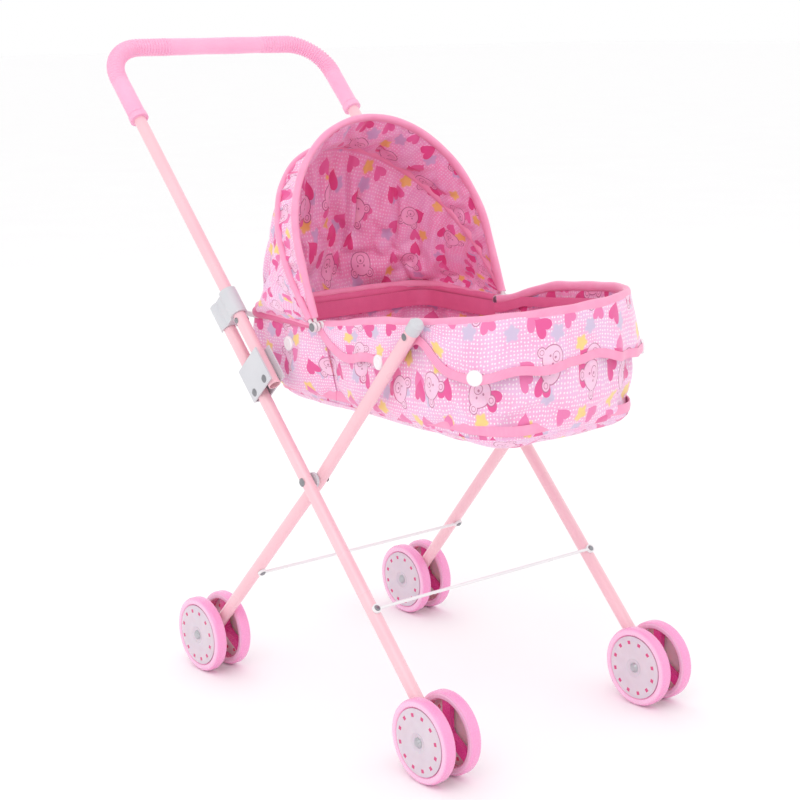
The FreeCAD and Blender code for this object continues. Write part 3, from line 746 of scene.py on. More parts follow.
    def make(self) -> bpy.types.Material:
        """Returns the finished material."""
        r = Recipe("printed_cloth_" + self.side.value)
        ink = {key: linear(code) for key, code in self.palette().items()}
        on = r.on_cloth()
        cloud = r.noise(on, 0.045, 3.0)
        share = r.ramp(cloud, 0.4, 0.62, 0.0, 1.0)
        skin = r.mixed(share, ink["ground"], ink["cloud"])
        dots, _ = self.cell(r, on, self.dot_pitch, 0.0, 0.0)
        skin = r.mixed(r.num(Op.BELOW, r.vec(Op.LENGTH, dots), self.dot), skin, ink["dot"])
        # cell pitch, offset, size in mm, ink, and the share of cells left empty
        layers = ((31.0, 0.13, 5.2, "mist", 0.35), (37.0, 0.57, 5.0, "sun", 0.3))
        for pitch, shift, radius, key, least in layers:
            at, dice = self.cell(r, on, pitch, shift, 3.0)
            there = r.num(Op.ABOVE, dice["Z"], least)
            skin = r.mixed(r.num(Op.MULTIPLY, self.star(r, at, radius), there), skin, ink[key])
        for pitch, shift, half, key in ((29.0, 0.31, 5.6, "rose"), (33.0, 0.83, 6.4, "heart")):
            at, dice = self.cell(r, on, pitch, shift, 2.4)
            there = r.num(Op.ABOVE, dice["Z"], 0.2)
            skin = r.mixed(r.num(Op.MULTIPLY, self.heart(r, at, half), there), skin, ink[key])
        at, dice = self.cell(r, on, 44.0, 0.42, 2.6)
        inside, line = self.teddy(r, at)
        skin = r.mixed(r.num(Op.MULTIPLY, inside, 0.9), skin, ink["bear"])
        skin = r.mixed(r.num(Op.MULTIPLY, line, 0.8), skin, ink["line"])
        weave = []
        for way in ("X", "Y"):
            thread = {"Vector": on, "Scale": WAVE_SCALE / self.weave_mm, "Distortion": 0.8}
            weave.append(r.add("TexWave", {"bands_direction": way}, **thread).outputs["Fac"])
        threads = r.num(Op.MULTIPLY, weave[0], weave[1])
        crease = r.add("TexNoise", {}, Vector=on, Scale=0.11, Detail=5.0, Roughness=0.6).outputs["Fac"]
        height = r.num(Op.ADD, r.num(Op.MULTIPLY, threads, 0.12), r.num(Op.MULTIPLY, crease, 1.6))
        r.shine(Base_Color=skin, Roughness=0.55, Sheen_Weight=0.3, Sheen_Roughness=0.45)
        r.shine(Subsurface_Weight=0.35)
        r.shader.inputs["Subsurface Radius"].default_value = (0.005, 0.0025, 0.0035)
        r.relief(height, 0.6 * MM, 0.6)
        return r.material


@dataclass(frozen=True)
class Finishes:
    """Every material of the stroller, made once."""

    cloth: bpy.types.Material
    shaded_lining: bpy.types.Material
    tape: bpy.types.Material
    band: bpy.types.Material
    grip: bpy.types.Material
    snap: bpy.types.Material
    by_slot: dict

    @classmethod
    def make(cls) -> "Finishes":
        """Returns the set."""
        coats = {
            "steel": Coating(
                "zinc_plated_steel", "#C9C9CD", "#A9A9AE", 0.28, metal=1.0, grain_depth_mm=0.01
            ),
            "rivet_steel": Coating(
                "rolled_rivet_steel", "#A8A8AC", "#77777C", 0.3, metal=1.0, grain_depth_mm=0.01
            ),
            "pink_tube": Coating(
                "pink_powder_coat", "#F7CBD3", "#F3BDC8", 0.3, coat=0.35, grain_depth_mm=0.012
            ),
            "pale_plastic": Coating("white_grey_abs", "#DADADE", "#C6C6CC", 0.34, coat=0.1, soft=0.05),
            "bracket_plastic": Coating("grey_enamel_channel", "#DCDCE0", "#CBCBD1", 0.36, coat=0.15),
            "white_rod": Coating("white_enamel_wire", "#F4F4F4", "#E8E8EA", 0.3),
            "wire_steel": Coating("pale_enamel_wire", "#F0E9EC", "#E4D9DE", 0.32),
            "grip_plastic": Coating(
                "soft_vinyl_sleeve", "#FABDD9", "#F6A9CD", 0.42, grain_mm=1.6, grain_depth_mm=0.04, soft=0.12
            ),
            "button_plastic": Coating("white_nylon_snap", "#FBF8FA", "#F1E9EE", 0.22, coat=0.3, soft=0.1),
        }
        made = {slot: coat.make() for slot, coat in coats.items()}
        # the inner faces get the deeper palette: painted shade and light through the cloth
        cloth, shaded_lining = PrintedCloth(Side.OUTER).make(), PrintedCloth(Side.INNER).make()
        tape = PlainTape("plain_bias_tape").make()
        # painted shade: a deeper copy of the plain tape, for tape on the shaded inside and back of the rims
        band = PlainTape("shaded_inner_tape", "#EA5C99", "#DB4587").make()
        return cls(cloth, shaded_lining, tape, band, made["grip_plastic"], made["button_plastic"], made)


def dress(obj: bpy.types.Object, *materials: bpy.types.Material) -> None:
    """Gives an object these materials in place of its own."""
    obj.data.materials.clear()
    for material in materials:
        obj.data.materials.append(material)


# ---- places --------------------------------------------------------------------------------
@dataclass(frozen=True)
class Places:
    """Places taken from the frame, in metres."""

    middle: Vector
    handle_pivot: Vector
    along: Vector
    ahead: Vector
    foot_rim: tuple
    head_rim: tuple
    foot_cloth: tuple
    head_cloth: tuple

    @classmethod
    def read(cls, frame: dict) -> "Places":
        """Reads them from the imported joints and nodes."""
        joints = {j["name"]: j for j in frame["joints"]}
        along = Vector(joints["left_collar_slide"]["axis"])
        return cls(
            Vector(joints["canopy_fold"]["pos_m"]),
            Vector(joints["handle_fold"]["pos_m"]),
            along,
            Vector((0.0, -along.z, along.y)),
            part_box("front_rim_wire"),
            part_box("rear_rim_wire"),
            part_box("basket_front"),
            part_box("basket_rear"),
        )


@dataclass
class Half:
    """One half of the basket: its rim, its floor and how its cloth hangs between them."""

    body: str
    joint: str
    prefix: str
    node: str
    wire_half: float
    seam: float
    tip: float
    rim_corner: float
    low_half: float
    low_tip: float
    low_corner: float
    floor: float
    middle: Vector
    slope: float
    belly: float
    band_drop: float
    band_wide: float
    stand_mid: float = 9.0 * MM
    stand_tilt: float = 0.043
    stand_run: float = 80.0 * MM

    def rim_height(self, y: float) -> float:
        """Height of the rim's plane at y."""
        return self.middle.z + (self.middle.y - y) * self.slope

    def stand(self, at: Vector) -> float:
        """How far the cloth's top edge stands above the wire at a point of the rim."""
        run = min(1.0, max(0.0, (self.middle.y - at.y) / self.stand_run))
        return (self.stand_mid + self.stand_tilt * at.x) * run**2 * (3 - 2 * run)

    def outline(self, half: float, tip: float, corner: float, count: int) -> list[Vector]:
        """Flat U from the seam on the left round the tip to the seam on the right.

        Args:
            half: half its width.
            tip: y of its closed end.
            corner: radius of its two bends.
            count: number of equal steps.

        Returns:
            count + 1 points at height 0.
        """
        way = -1.0 if tip < self.seam else 1.0
        points = [Vector((-half, self.seam, 0.0))]
        for side in SIDES:
            centre = Vector((side * (half - corner), tip - way * corner, 0.0))
            for step in range(25):
                share = step / 24 * math.pi / 2
                turn = share if side < 0 else math.pi / 2 - share
                points.append(centre + Vector((side * math.cos(turn), way * math.sin(turn), 0.0)) * corner)
        points.append(Vector((half, self.seam, 0.0)))
        return even_points(points, count)

    def rim_line(self, count: int) -> list[Vector]:
        """Line of the rim's wire."""
        flat = self.outline(self.wire_half, self.tip, self.rim_corner, count)
        return [Vector((p.x, p.y, self.rim_height(p.y) + self.stand(p))) for p in flat]

    def low_line(self, count: int) -> list[Vector]:
        """Line of the floor's seam."""
        flat = self.outline(self.low_half, self.low_tip, self.low_corner, count)
        return [Vector((p.x, p.y, self.floor)) for p in flat]

    def outwards(self, points: Sequence[Vector]) -> list[Vector]:
        """Level directions out of the basket along a line."""
        way = 1.0 if self.tip < self.seam else -1.0
        found = []
        for i in range(len(points)):
            run = points[min(i + 1, len(points) - 1)] - points[max(i - 1, 0)]
            found.append(Vector((run.y, -run.x, 0.0)).normalized() * way)
        return found

    def wall(self, count: int) -> tuple[list[Vector], list[Vector], list[Vector]]:
        """Rim line, floor line and outward directions of the wall, step by step."""
        rim = self.rim_line(count)
        return rim, self.low_line(count), self.outwards(rim)


@dataclass
class Basket:
    """Fabric basket: walls, floor, apron, bindings and snaps on two hinged rims."""

    places: Places
    finishes: Finishes
    skin: float = 0.7 * MM
    fold: float = 2.6 * MM
    fold_pitch: float = 26 * MM
    crinkle: float = 1.2 * MM
    crinkle_pitch: float = 11 * MM
    floor_sag: float = 11.0 * MM
    floor_lap: float = 0.8 * MM
    casing: float = 3.3 * MM
    tape_wide: float = 8.0 * MM
    step: float = 3.4 * MM
    keep: float = 0.22
    seam_rise: float = 8.0 * MM
    seam_out: float = 1.0 * MM
    seam_fade: float = 38.0 * MM
    leg_gap: float = 63.2 * MM
    cap_gap: float = 122.0 * MM
    cap_radius: float = 6.0 * MM
    cap_height: float = 2.2 * MM
    cap_steps: tuple = ((1.3, 0.5), (1.4, -0.45), (1.2, 0.15))  # inset and rise of its rings, in mm
    head_reach: float = 104.0 * MM
    foot_spots: tuple = (Vector((0.130, -0.072, -0.031)), Vector((0.1215, -0.1945, -0.0125)))
    head_spots: tuple = (Vector((0.130, 0.046, -0.021)),)

    def half(self, foot: bool) -> Half:
        """The sizes of one half, from the frame."""
        p = self.places
        rim, cloth = (p.foot_rim, p.foot_cloth) if foot else (p.head_rim, p.head_cloth)
        wire = 1.6 * MM
        seam = p.middle.y
        tip = rim[0].y + wire if foot else p.middle.y + self.head_reach
        low = cloth[0].y if foot else cloth[1].y - 7.0 * MM
        return Half(
            body="front_rim" if foot else "rear_rim",
            joint="front_rim_fold" if foot else "rear_rim_fold",
            prefix="foot" if foot else "head",
            node="basket_front" if foot else "basket_rear",
            wire_half=(92.0 if foot else 95.8) * MM,
            seam=seam + (0.0 if foot else -2.0 * MM),
            tip=tip,
            rim_corner=(86.0 if foot else 18.0) * MM,
            low_half=80.0 * MM,
            low_tip=tip + 15.0 * MM if foot else low,
            low_corner=34.0 * MM,
            floor=cloth[0].z,
            middle=p.middle,
            slope=0.10 if foot else 0.0,
            belly=(3.0 if foot else 11.0) * MM,
            band_drop=(6.0 if foot else 8.5) * MM,
            band_wide=(8.0 if foot else 14.0) * MM,
        )

    def ripple(self, at: Vector, pitch: float, seed: float) -> float:
        """Smooth random value from -1 to 1 on a pitch in metres."""
        return noise.noise(at / pitch + Vector((seed, seed * 1.3, seed * 0.7))) * 1.6

    def wall(self, half: Half) -> bpy.types.Object:
        """Builds the wall between rim and floor, and lets it hang."""
        span = line_length(half.rim_line(120))
        high = half.middle.z - half.floor
        columns, rows = round(span / self.step), round(high / self.step)
        rim, low, out = half.wall(columns)

        def place(u: float, v: float) -> Vector:
            i = round(u * columns)
            at = rim[i].lerp(low[i], v)
            full = math.sin(math.pi * min(1.0, v * 1.08))
            crease = math.sin(math.pi * v)
            push = half.belly * full
            push += crease * self.fold * self.ripple(Vector((at.x, at.y, at.z * 0.45)), self.fold_pitch, 3.0)
            push += crease * self.crinkle * self.ripple(at, self.crinkle_pitch, 8.0)
            return at + out[i] * (push * min(1.0, abs(at.y - half.seam) / self.seam_fade) ** 0.7)

        wall = sheet_grid(half.prefix + "_wall_cloth", columns, rows, place, (span, high))
        face_away(wall, Vector((0.0, (half.seam + half.tip) / 2, half.floor + high / 2)))
        settle(wall, lambda u, v: v < 0.02 or v > 0.98 or u < 0.008 or u > 0.992, 0.035, 16)
        dress(wall, self.finishes.cloth, self.finishes.shaded_lining)
        thicken(wall, self.skin, inner_slot=1, subdivide=1)
        return wall

    def floor(self, half: Half) -> bpy.types.Object:
        """Builds the sagging bottom panel."""
        length = abs(half.low_tip - half.seam)
        far = half.low_tip
        crowding, side_power, end_power, end_from = 1.35, 6, 5, 0.62

        def place(u: float, v: float) -> Vector:
            y = half.seam + (far - half.seam) * (1 - (1 - v) ** crowding)
            corner = max(0.0, 1 - abs(far - y) / half.low_corner)
            wide = half.low_half - half.low_corner * (1 - math.sqrt(max(0.0, 1 - corner**2)))
            x = (wide + self.floor_lap) * (2 * u - 1)
            end = max(0.0, (v - end_from) / (1 - end_from))
            bowl = (1 - abs(2 * u - 1) ** side_power) * (1 - end**end_power)
            wave = 1.5 * MM * self.ripple(Vector((x, y, 0.0)), 24 * MM, 5.0)
            return Vector((x, y, half.floor + self.floor_lap - bowl * (self.floor_sag + wave)))

        floor = sheet_grid(half.prefix + "_floor_cloth", 48, 48, place, (2 * half.low_half, length))
        face_away(floor, Vector((0.0, half.seam, half.floor + 1.0)))
        dress(floor, self.finishes.cloth, self.finishes.shaded_lining)
        thicken(floor, self.skin, inner_slot=1, subdivide=1)
        return floor

    def tapes(self, half: Half) -> list[bpy.types.Object]:
        """Builds the rim's casing, the inner band and the floor seam's tape."""
        count = round(line_length(half.rim_line(60)) / (4 * MM))
        rim, low, out = half.wall(count)
        up = Vector((0.0, half.slope, 1.0)).normalized()

        def radii(u: float) -> Pair:
            high = 1.2 + 0.08 * math.sin(u * 90)
            wide = 0.9 + 0.05 * math.sin(u * 61)
            return self.casing * high, self.casing * wide

        casing = tube(half.prefix + "_rim_casing", stations(rim, lambda i: up), radii)
        inner = []
        for top, edge, away in zip(rim, low, out):
            drop = max(half.band_drop, half.stand(top) + 0.5 * MM)
            inner.append(top + (edge - top).normalized() * drop - away * (2.4 * MM))
        facing_in = stations(inner, lambda i: -out[i])
        band = ribbon(half.prefix + "_inner_band", facing_in, half.band_wide, 0.5 * MM, 0.6 * MM)
        lower = half.outwards(low)
        seam = []
        for i, (edge, top) in enumerate(zip(low, rim)):
            rise = self.seam_rise + 1.0 * MM * math.sin(i * 0.21)
            seam.append(edge.lerp(top, rise / (top - edge).length) + lower[i] * self.seam_out)
        facing_out = stations(seam, lambda i: lower[i])
        hem = ribbon(half.prefix + "_floor_tape", facing_out, self.tape_wide, 0.9 * MM, 0.8 * MM)
        # the head rim's casing and the inner band take the painted-shade tape
        dress(casing, self.finishes.tape if half.prefix == "foot" else self.finishes.band)
        dress(band, self.finishes.band)
        dress(hem, self.finishes.tape)
        return [casing, band, hem]

    def leg_y(self) -> float:
        """Place along the basket where the rear leg passes the apron."""
        return self.places.middle.y - self.leg_gap

    def apron_depth(self, y: float, along: float) -> float:
        """How far the apron hangs below the rim.

        Args:
            y: place along the rim.
            along: share of the way round the rim, from 0 to 1.

        Returns:
            The depth in metres.
        """
        leg = self.places.middle.y - self.cap_gap
        start_run, notch_run, deep_run = 44 * MM, 17 * MM, 45 * MM
        shallow, deeper, end_rise, notch_share = 25.0, 10.0, 6.0, 0.72
        start = min(1.0, (self.places.middle.y - y) / start_run)
        notch = 1 - math.exp(-(((y - leg) / notch_run) ** 2)) * notch_share
        side = shallow + deeper * min(1.0, max(0.0, (leg - y) / deep_run))
        end = end_rise * max(0.0, 1 - abs(along - 0.5) / 0.17)
        wave = 1.4 * math.sin(along * 46) + 0.9 * math.sin(along * 91 + 1)
        return max(3.0, (side - end + wave) * notch * math.sin(start * math.pi / 2) ** 0.8) * MM

    def apron(self, half: Half) -> list[bpy.types.Object]:
        """Builds the loose skirt outside the foot half, with its tape."""
        span = line_length(half.rim_line(120))
        columns, rows = round(span / (3.0 * MM)), 14
        rim, low, out = half.wall(columns)
        gap, spread, pinch, pinch_run = 2.6, 3.0, 0.75, 9 * MM
        ledge, straight = 96.5 * MM, 135 * MM

        def flare(i: int, down: float) -> float:
            share = i / columns
            near = 1.0 - pinch * math.exp(-(((rim[i].y - self.leg_y()) / pinch_run) ** 2))
            wave = 1.6 * math.sin(share * 60) + 1.1 * math.sin(share * 113 + 2) + 0.8 * math.sin(share * 23)
            return (gap + down * (spread + wave) * near) * MM

        def point(i: int, down: float) -> Vector:
            drop = (self.apron_depth(rim[i].y, i / columns) + half.stand(rim[i])) * down
            high = (rim[i] - low[i]).length
            at = rim[i].lerp(low[i], drop / high) + Vector((0.0, 0.0, 1.5 * MM * (1 - down)))
            belly = half.belly * math.sin(math.pi * min(1.0, drop / high))
            limit = (ledge - abs(at.x)) if rim[i].y > self.places.middle.y - straight else 1.0
            return at + out[i] * min(limit, belly + flare(i, down))

        def place(u: float, v: float) -> Vector:
            return point(round(u * columns), v)

        skirt = sheet_grid("foot_apron_cloth", columns, rows, place, (span, 34 * MM))
        face_away(skirt, Vector((0.0, (half.seam + half.tip) / 2, half.floor)))
        dress(skirt, self.finishes.cloth, self.finishes.shaded_lining)
        edge = [point(i, 1.0) + out[i] * (0.7 * MM) for i in range(columns + 1)]
        hem = ribbon("foot_apron_tape", stations(edge, lambda i: out[i]), 7.0 * MM, 0.7 * MM, 0.9 * MM)
        dress(hem, self.finishes.tape)
        thicken(skirt, self.skin, inner_slot=1, subdivide=1)
        return [skirt, hem]

    def cap(self, cloth: bpy.types.Object, near: Vector) -> bpy.types.Object:
        """Presses one snap cap onto the outside of a cloth.

        Args:
            cloth: the finished cloth.
            near: a point outside the place of the cap.

        Returns:
            The cap.
        """
        _, seat, out, _ = cloth.closest_point_on_mesh(near)
        out = Vector((out.x, out.y, 0.0)).normalized()
        bpy.ops.object.select_all(action="DESELECT")
        turn = out.to_track_quat("Z", "Y").to_euler()
        bpy.ops.mesh.primitive_cylinder_add(
            vertices=48,
            radius=self.cap_radius,
            depth=self.cap_height,
            location=seat + out * (0.9 * MM),
            rotation=turn,
        )
        cap = bpy.context.active_object
        bpy.ops.object.transform_apply(location=True, rotation=True, scale=True)
        bpy.ops.object.mode_set(mode="EDIT")
        bpy.ops.mesh.select_all(action="DESELECT")
        bpy.ops.object.mode_set(mode="OBJECT")
        for face in cap.data.polygons:
            face.select = face.normal.dot(out) > 0.9
        bpy.ops.object.mode_set(mode="EDIT")
        for inset, depth in self.cap_steps:
            bpy.ops.mesh.inset(thickness=inset * MM, depth=depth * MM)
        bpy.ops.object.mode_set(mode="OBJECT")
        sharp = math.radians(25)
        applied(cap, "BEVEL", width=0.35 * MM, segments=3, limit_method="ANGLE", angle_limit=sharp)
        return cap

    def snaps(
        self, name: str, node: str, cloth: bpy.types.Object, spots: Sequence[Vector]
    ) -> bpy.types.Object:
        """Presses snap caps on both sides of a cloth, in place of the CAD buttons.

        Args:
            name: the piece's name.
            node: the CAD buttons.
            cloth: the cloth that carries them.
            spots: points outside the right-hand caps, from the middle pivot.

        Returns:
            The joined caps.
        """
        caps = []
        for spot in spots:
            for side in SIDES:
                near = self.places.middle + spot
                near.x *= side
                caps.append(self.cap(cloth, near))
        bpy.ops.object.select_all(action="DESELECT")
        for cap in caps:
            cap.select_set(True)
        bpy.context.view_layer.objects.active = caps[0]
        bpy.ops.object.join()
        joined = bpy.context.active_object
        joined.name = name
        dress(joined, self.finishes.snap)
        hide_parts(node)
        return smooth(joined, 40.0)

    def build(self) -> None:
        """Builds both halves and ties them to the frame."""
        for foot in (True, False):
            half = self.half(foot)
            wall, floor, (casing, band, hem) = self.wall(half), self.floor(half), self.tapes(half)
            soft = [wall, floor, band, hem]
            loose = []
            if foot:
                loose = self.apron(half)
                soft += loose
                snaps = self.snaps("foot_snaps", "front_buttons", loose[0], self.foot_spots)
            else:
                snaps = self.snaps("head_snaps", "rear_buttons", wall, self.head_spots)
            soft.append(snaps)
            for piece in soft:
                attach(piece, half.body)
                tuple(half.middle)
                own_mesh(piece)
            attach(casing, half.body)
            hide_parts(half.node)
            for piece in soft + [casing]:
                LOG.info("%s: %d faces", piece.name, len(piece.data.polygons))
            span = line_length(half.rim_line(120))
            span = round(span, 3)


# lean in degrees, then half width, reach and straight foot in mm, and the exponent of the crown
_CANOPY_KEYS = (
    (20.0, 99.4, 167.0, 60.0, 2.0),
    (40.0, 102.8, 171.0, 30.0, 2.0),
    (50.0, 102.0, 174.0, 32.0, 2.1),
    (62.0, 102.0, 163.0, 40.0, 2.4),
    (76.0, 99.0, 132.0, 52.0, 3.2),
    (89.0, 96.4, 104.0, 60.0, 5.0),
)


@dataclass
class Canopy:
    """Canopy: one curved sheet over two bows, from the front bow back to the head rim."""

    places: Places
    finishes: Finishes
    skin: float = 0.7 * MM
    start: float = 7.0 * MM
    front_sink: float = 3.0 * MM
    rear_swell: float = 4.0 * MM
    slack: float = 0.06
    pucker_mm: float = 3.4
    broad_mm: float = 3.6
    fine_mm: float = 1.5
    front_lean: float = 20.0
    mid_lean: float = 40.0
    rear_lean: float = 89.0
    mid_share: float = 0.32
    columns: int = 132
    rows: int = 44

    def size_at(self, lean: float) -> tuple[float, float, float, float]:
        """Sizes of the canopy at a lean.

        Args:
            lean: degrees behind the vertical.

        Returns:
            Half width, reach and straight foot in metres, and the exponent of the crown.
        """
        keys = _CANOPY_KEYS
        low = max(k for k in range(len(keys) - 1) if keys[k][0] <= lean or k == 0)
        a, b = keys[low], keys[low + 1]
        share = min(1.0, (lean - a[0]) / (b[0] - a[0]))
        half, top, leg, square = (x + (y - x) * share for x, y in zip(a[1:], b[1:]))
        return half * MM, top * MM, leg * MM, square

    def arch(self, lean: float, count: int, sink: float = 0.0) -> list[Vector]:
        """Points of the canopy at a lean, from the left foot over to the right.

        Args:
            lean: degrees behind the vertical.
            count: number of equal steps.
            sink: how far the cloth lies inside the bows.

        Returns:
            count + 1 points.
        """
        half, top, leg, square = self.size_at(lean)
        half, top = half - sink * 0.5, top - sink
        angle = math.radians(lean)
        flat = [Vector((-half, 0.0, self.start))]
        for step in range(61):
            turn = math.pi * (1 - step / 60)
            c, s = math.cos(turn), max(0.0, math.sin(turn))
            x = math.copysign(abs(c) ** (2 / square), c) * half
            flat.append(Vector((x, 0.0, leg + (top - leg) * s ** (2 / square))))
        flat.append(Vector((half, 0.0, self.start)))
        base = self.places.middle
        even = even_points(flat, count)
        back, up = math.sin(angle), math.cos(angle)
        return [Vector((p.x, base.y + p.z * back, base.z + p.z * up)) for p in even]

    def lean_of(self, v: float) -> float:
        """Lean in degrees at a share of the way from front bow to head rim."""
        return self.front_lean + (self.rear_lean - self.front_lean) * v

    def hood(self) -> bpy.types.Object:
        """Builds the sheet and lets it hang between the bows."""
        lines = []
        for j in range(self.rows + 1):
            lean = self.lean_of(j / self.rows)
            if lean < self.mid_lean:
                gap = math.sin(math.pi * (lean - self.front_lean) / (self.mid_lean - self.front_lean))
                sink = self.front_sink * gap
            else:
                gap = math.sin(math.pi * (lean - self.mid_lean) / (self.rear_lean - self.mid_lean))
                sink = -self.rear_swell * gap
            lines.append((self.arch(lean, self.columns, sink), gap))
        centre = self.places.middle + Vector((0.0, 40 * MM, 40 * MM))

        def place(u: float, v: float) -> Vector:
            line, gap = lines[round(v * self.rows)]
            at = line[round(u * self.columns)]
            out = (at - centre).normalized()
            rise = min(1.0, (at - self.places.middle).yz.length / (70 * MM))
            pucker = math.sin(u * 150 + 2.2 * noise.noise(at / (30 * MM))) * (1 - gap) * gap * self.pucker_mm
            broad = noise.noise(at / (34 * MM) + Vector((4.0, 1.0, 7.0))) * self.broad_mm * gap
            fine = noise.noise(at / (13 * MM) + Vector((9.0, 2.0, 3.0))) * self.fine_mm * gap
            return at + out * ((pucker + broad + fine) * rise * MM)

        reach = line_length(self.arch(30.0, 60))
        depth = 0.155  # along the cloth's fold line, from front bow to hem
        hood = sheet_grid("canopy_cloth", self.columns, self.rows, place, (reach, depth))
        face_away(hood, centre)
        bow = (self.mid_lean - self.front_lean) / (self.rear_lean - self.front_lean)

        def held(u: float, v: float) -> bool:
            return v < 0.01 or v > 0.99 or abs(v - bow) < 0.014 or u < 0.02 or u > 0.98

        settle(hood, held, self.slack, frames=20, bending=0.12)
        dress(hood, self.finishes.cloth, self.finishes.shaded_lining)
        return hood

    def weights(self, hood: bpy.types.Object) -> None:
        """Bakes the sheet's placement into its mesh."""
        start, end = self.places.middle, self.places.middle + Vector((0.0, 0.1, 0.0))
        tuple(start)
        tuple(end)
        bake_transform(hood)

    def casing(self, name: str, lean: float, body: str, radius: float) -> bpy.types.Object:
        """Builds the tape sewn round a bow or hem."""
        line = self.arch(lean, 110)
        base = self.places.middle
        out = [(p - base - Vector((0.0, 0.0, 30 * MM))).normalized() for p in line]

        def radii(u: float) -> Pair:
            high = 0.82 + 0.05 * math.sin(u * 70)
            wide = 1.12 + 0.07 * math.sin(u * 53 + 1)
            return radius * high, radius * wide

        piece = tube(name, stations(line, lambda i: out[i]), radii)
        dress(piece, self.finishes.tape)
        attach(piece, body)
        return piece

    def build(self) -> None:
        """Builds the canopy and ties its casings to the frame."""
        hood = self.hood()
        thicken(hood, self.skin, inner_slot=1, subdivide=1)
        self.weights(hood)
        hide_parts("canopy_front_panel", "canopy_rear_panel")
        parts = [
            self.casing("canopy_front_casing", self.front_lean, "canopy_front", 3.5 * MM),
            self.casing("canopy_mid_casing", self.mid_lean, "canopy_mid", 3.0 * MM),
            self.casing("canopy_hem_casing", self.rear_lean - 1.5, "rear_rim", 2.8 * MM),
        ]
        for piece in [hood] + parts:
            LOG.info("%s: %d faces", piece.name, len(piece.data.polygons))


@dataclass
class Grip:
    """Vinyl sleeve on the crossbar, corrugated round both bends."""

    places: Places
    finishes: Finishes
    pivot_t: float = 318.5 * MM
    low_t: float = 598.0 * MM
    top_t: float = 676.0 * MM
    half: float = 115.5 * MM
    bend: float = 36.0 * MM
    radius: float = 7.6 * MM
    rib_pitch: float = 3.0 * MM
    rib_depth: float = 0.55 * MM

    def at(self, x: float, t: float) -> Vector:
        """Point in the handle's plane, t along the legs."""
        return self.places.handle_pivot + self.places.along * (t - self.pivot_t) + Vector((x, 0.0, 0.0))

    def build(self) -> None:
        """Builds the sleeve and ties it to the handle."""
        corners = [self.at(-self.half, self.low_t)]
        for side in SIDES:
            for step in range(31):
                turn = step / 30 * math.pi / 2
                a = turn if side < 0 else math.pi / 2 - turn
                x = side * (self.half - self.bend + self.bend * math.cos(a))
                corners.append(self.at(x, self.top_t - self.bend + self.bend * math.sin(a)))
        corners.append(self.at(self.half, self.low_t))
        length = line_length(corners)
        steps = round(length / (0.5 * MM))
        points = even_points(corners, steps)
        bend_from = (self.top_t - self.bend - self.low_t) / length
        bend_to = bend_from + (self.bend * math.pi / 2 + 34 * MM) / length

        def radii(u: float) -> Pair:
            edge = min(u, 1 - u)
            end = 1 - 0.25 * max(0.0, 1 - edge * length / (1.2 * MM)) ** 2
            entering = min(1.0, max(0.0, (edge - bend_from + 0.02) / 0.015))
            inside = entering * min(1.0, max(0.0, (bend_to - edge) / 0.02))
            rib = math.cos(2 * math.pi * u * length / self.rib_pitch)
            r = self.radius * end + inside * self.rib_depth * (rib - 0.35)
            r += 0.12 * MM * math.sin(u * 37)
            return r, r

        sleeve = tube("grip_sleeve", stations(points, lambda i: self.places.ahead), radii, 40)
        dress(sleeve, self.finishes.grip)
        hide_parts("handle_grip")
        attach(sleeve, "handle")
        LOG.info("grip_sleeve: %d faces", len(sleeve.data.polygons))


@dataclass
class Rollers:
    """Finishes of the eight wheels and their caps, each centred on its own axle."""

    frame: dict
    rim: float = 33.0 * MM
    dash_ring: float = 21.5 * MM

    def dress_all(self) -> None:
        """Gives each wheel and cap a material that turns about its axle."""
        made: dict = {}
        for joint in self.frame["joints"]:
            if not joint.get("continuous"):
                continue
            axle = Vector(joint["pos_m"])
            axle.x = 0.0
            place = "front" if axle.y < 0 else "rear"
            if place not in made:
                made[place] = (
                    WheelPlastic("moulded_wheel_" + place, axle, self.rim).make(),
                    CapPlastic("milky_cap_" + place, axle, self.dash_ring).make(),
                )
            for node in self.frame["record"]["behaviour"]["bodies"][joint["child"]]:
                dress(self.frame["nodes"][node], made[place]["hubcap" in node])
                LOG.info("%s dressed", node)


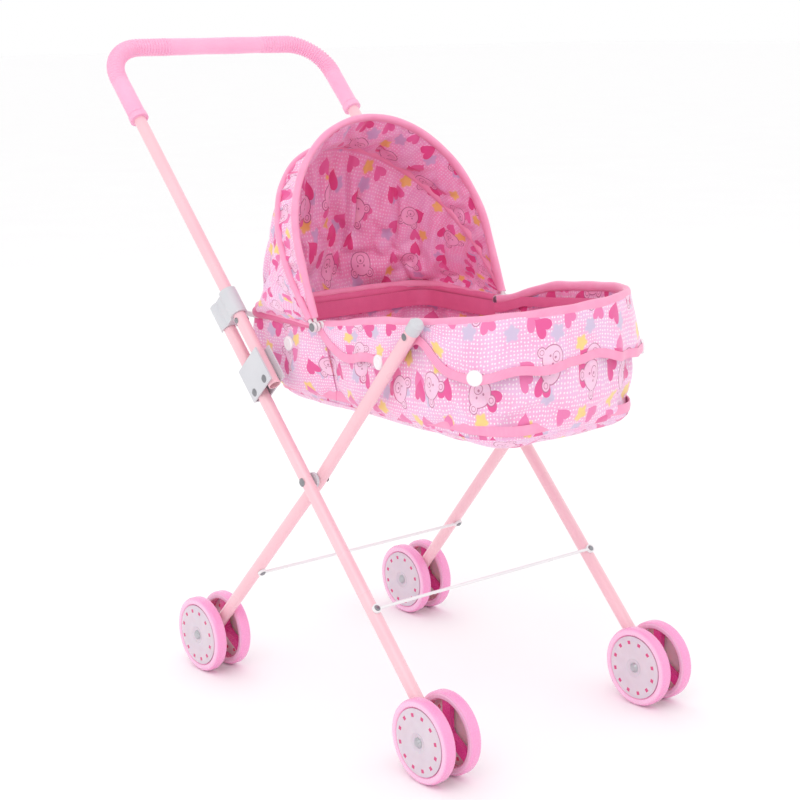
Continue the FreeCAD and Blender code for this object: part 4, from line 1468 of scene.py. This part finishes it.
@dataclass
class Studio:
    """Pale floor, soft light and the camera."""

    floor_colour: str = "#FFFFFF"
    floor_half: float = 30.0
    air: float = 1.0
    aim: tuple = (0.0, 0.0, 0.3)
    # name, place, side in metres and power in watts
    lamps: tuple = (
        ("key", (-1.3, -1.0, 1.9), 1.4, 8.0),
        ("fill", (1.5, -1.2, 1.2), 1.6, 1.5),
        ("back", (0.4, 1.6, 1.5), 1.2, 3.0),
    )
    camera_at: Vector = Vector((-0.877, -1.132, 0.5575))
    azimuth: float = -39.2
    elevation: float = 13.28
    roll: float = -0.79
    lens: float = 76.9
    shift: Pair = (-0.03, 0.03)

    def floor(self) -> None:
        """Lays the floor."""
        bpy.ops.object.select_all(action="DESELECT")
        bpy.ops.mesh.primitive_plane_add(size=2 * self.floor_half, location=(0.0, 0.0, -0.0002))
        floor = bpy.context.active_object
        floor.name = "floor"
        r = Recipe("studio_paper")
        grain = r.noise(r.here(), 4.0, 2.0)
        r.shine(Base_Color=r.mixed(grain, linear(self.floor_colour), linear("#FDFCFD")), Roughness=0.85)
        dress(floor, r.material)
        floor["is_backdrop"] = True

    def lamp(self, name: str, at: tuple, size: float, power: float) -> None:
        """Hangs one soft square lamp.

        Args:
            name: the lamp's name.
            at: where it hangs.
            size: its side.
            power: in watts.
        """
        data = bpy.data.lights.new(name, "AREA")
        data.shape = "SQUARE"
        data.size = size
        data.energy = power
        lamp = bpy.data.objects.new(name, data)
        lamp.location = at
        lamp.rotation_euler = (Vector(self.aim) - Vector(at)).to_track_quat("-Z", "Y").to_euler()
        bpy.context.scene.collection.objects.link(lamp)

    def camera(self) -> None:
        """Sets up the camera."""
        a, e = math.radians(self.azimuth), math.radians(self.elevation)
        back = Vector((math.sin(a) * math.cos(e), -math.cos(a) * math.cos(e), math.sin(e)))
        right = Vector((math.cos(a), math.sin(a), 0.0))
        up = back.cross(right)
        turn = Matrix((right, up, back)).transposed().to_4x4()
        turn = turn @ Matrix.Rotation(math.radians(self.roll), 4, "Z")
        data = bpy.data.cameras.new("camera")
        data.lens = self.lens
        data.sensor_width = 36.0
        data.shift_x, data.shift_y = self.shift
        data.clip_end = 200.0
        camera = bpy.data.objects.new("camera", data)
        camera.matrix_world = Matrix.Translation(self.camera_at) @ turn
        bpy.context.scene.collection.objects.link(camera)
        bpy.context.scene.camera = camera

    def build(self) -> None:
        """Builds the studio."""
        self.floor()
        for name, at, size, power in self.lamps:
            self.lamp(name, at, size, power)
        world = bpy.data.worlds.new("studio_air")
        world.use_nodes = True
        tree = world.node_tree
        air = tree.nodes["Background"]
        air.inputs["Color"].default_value = linear("#FFFFFF")
        air.inputs["Strength"].default_value = self.air
        bpy.context.scene.world = world
        bpy.context.scene.view_settings.view_transform = "Standard"
        self.camera()


def dress_frame(frame: dict, finishes: Finishes) -> None:
    """Gives each CAD node the finish of its material slot."""
    slots = {part["node"]: part["material_slot"] for part in frame["record"]["subparts"]}
    for name, node in frame["nodes"].items():
        if slots[name] in finishes.by_slot:
            dress(node, finishes.by_slot[slots[name]])


def corners(box: tuple) -> list:
    """A box's two corners as plain lists."""
    return [[float(value) for value in corner] for corner in box]


def main() -> None:
    """Builds every sub-assembly in order."""
    logging.basicConfig(level=logging.INFO, format="%(name)s: %(message)s")
    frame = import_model()
    cad = corners(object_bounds())
    places = Places.read(frame)
    finishes = Finishes.make()
    dress_frame(frame, finishes)
    Rollers(frame).dress_all()
    Grip(places, finishes).build()
    Basket(places, finishes).build()
    Canopy(places, finishes).build()
    Studio().build()
    {"cad": cad, "visual": corners(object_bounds())}


if __name__ == "__main__":
    main()
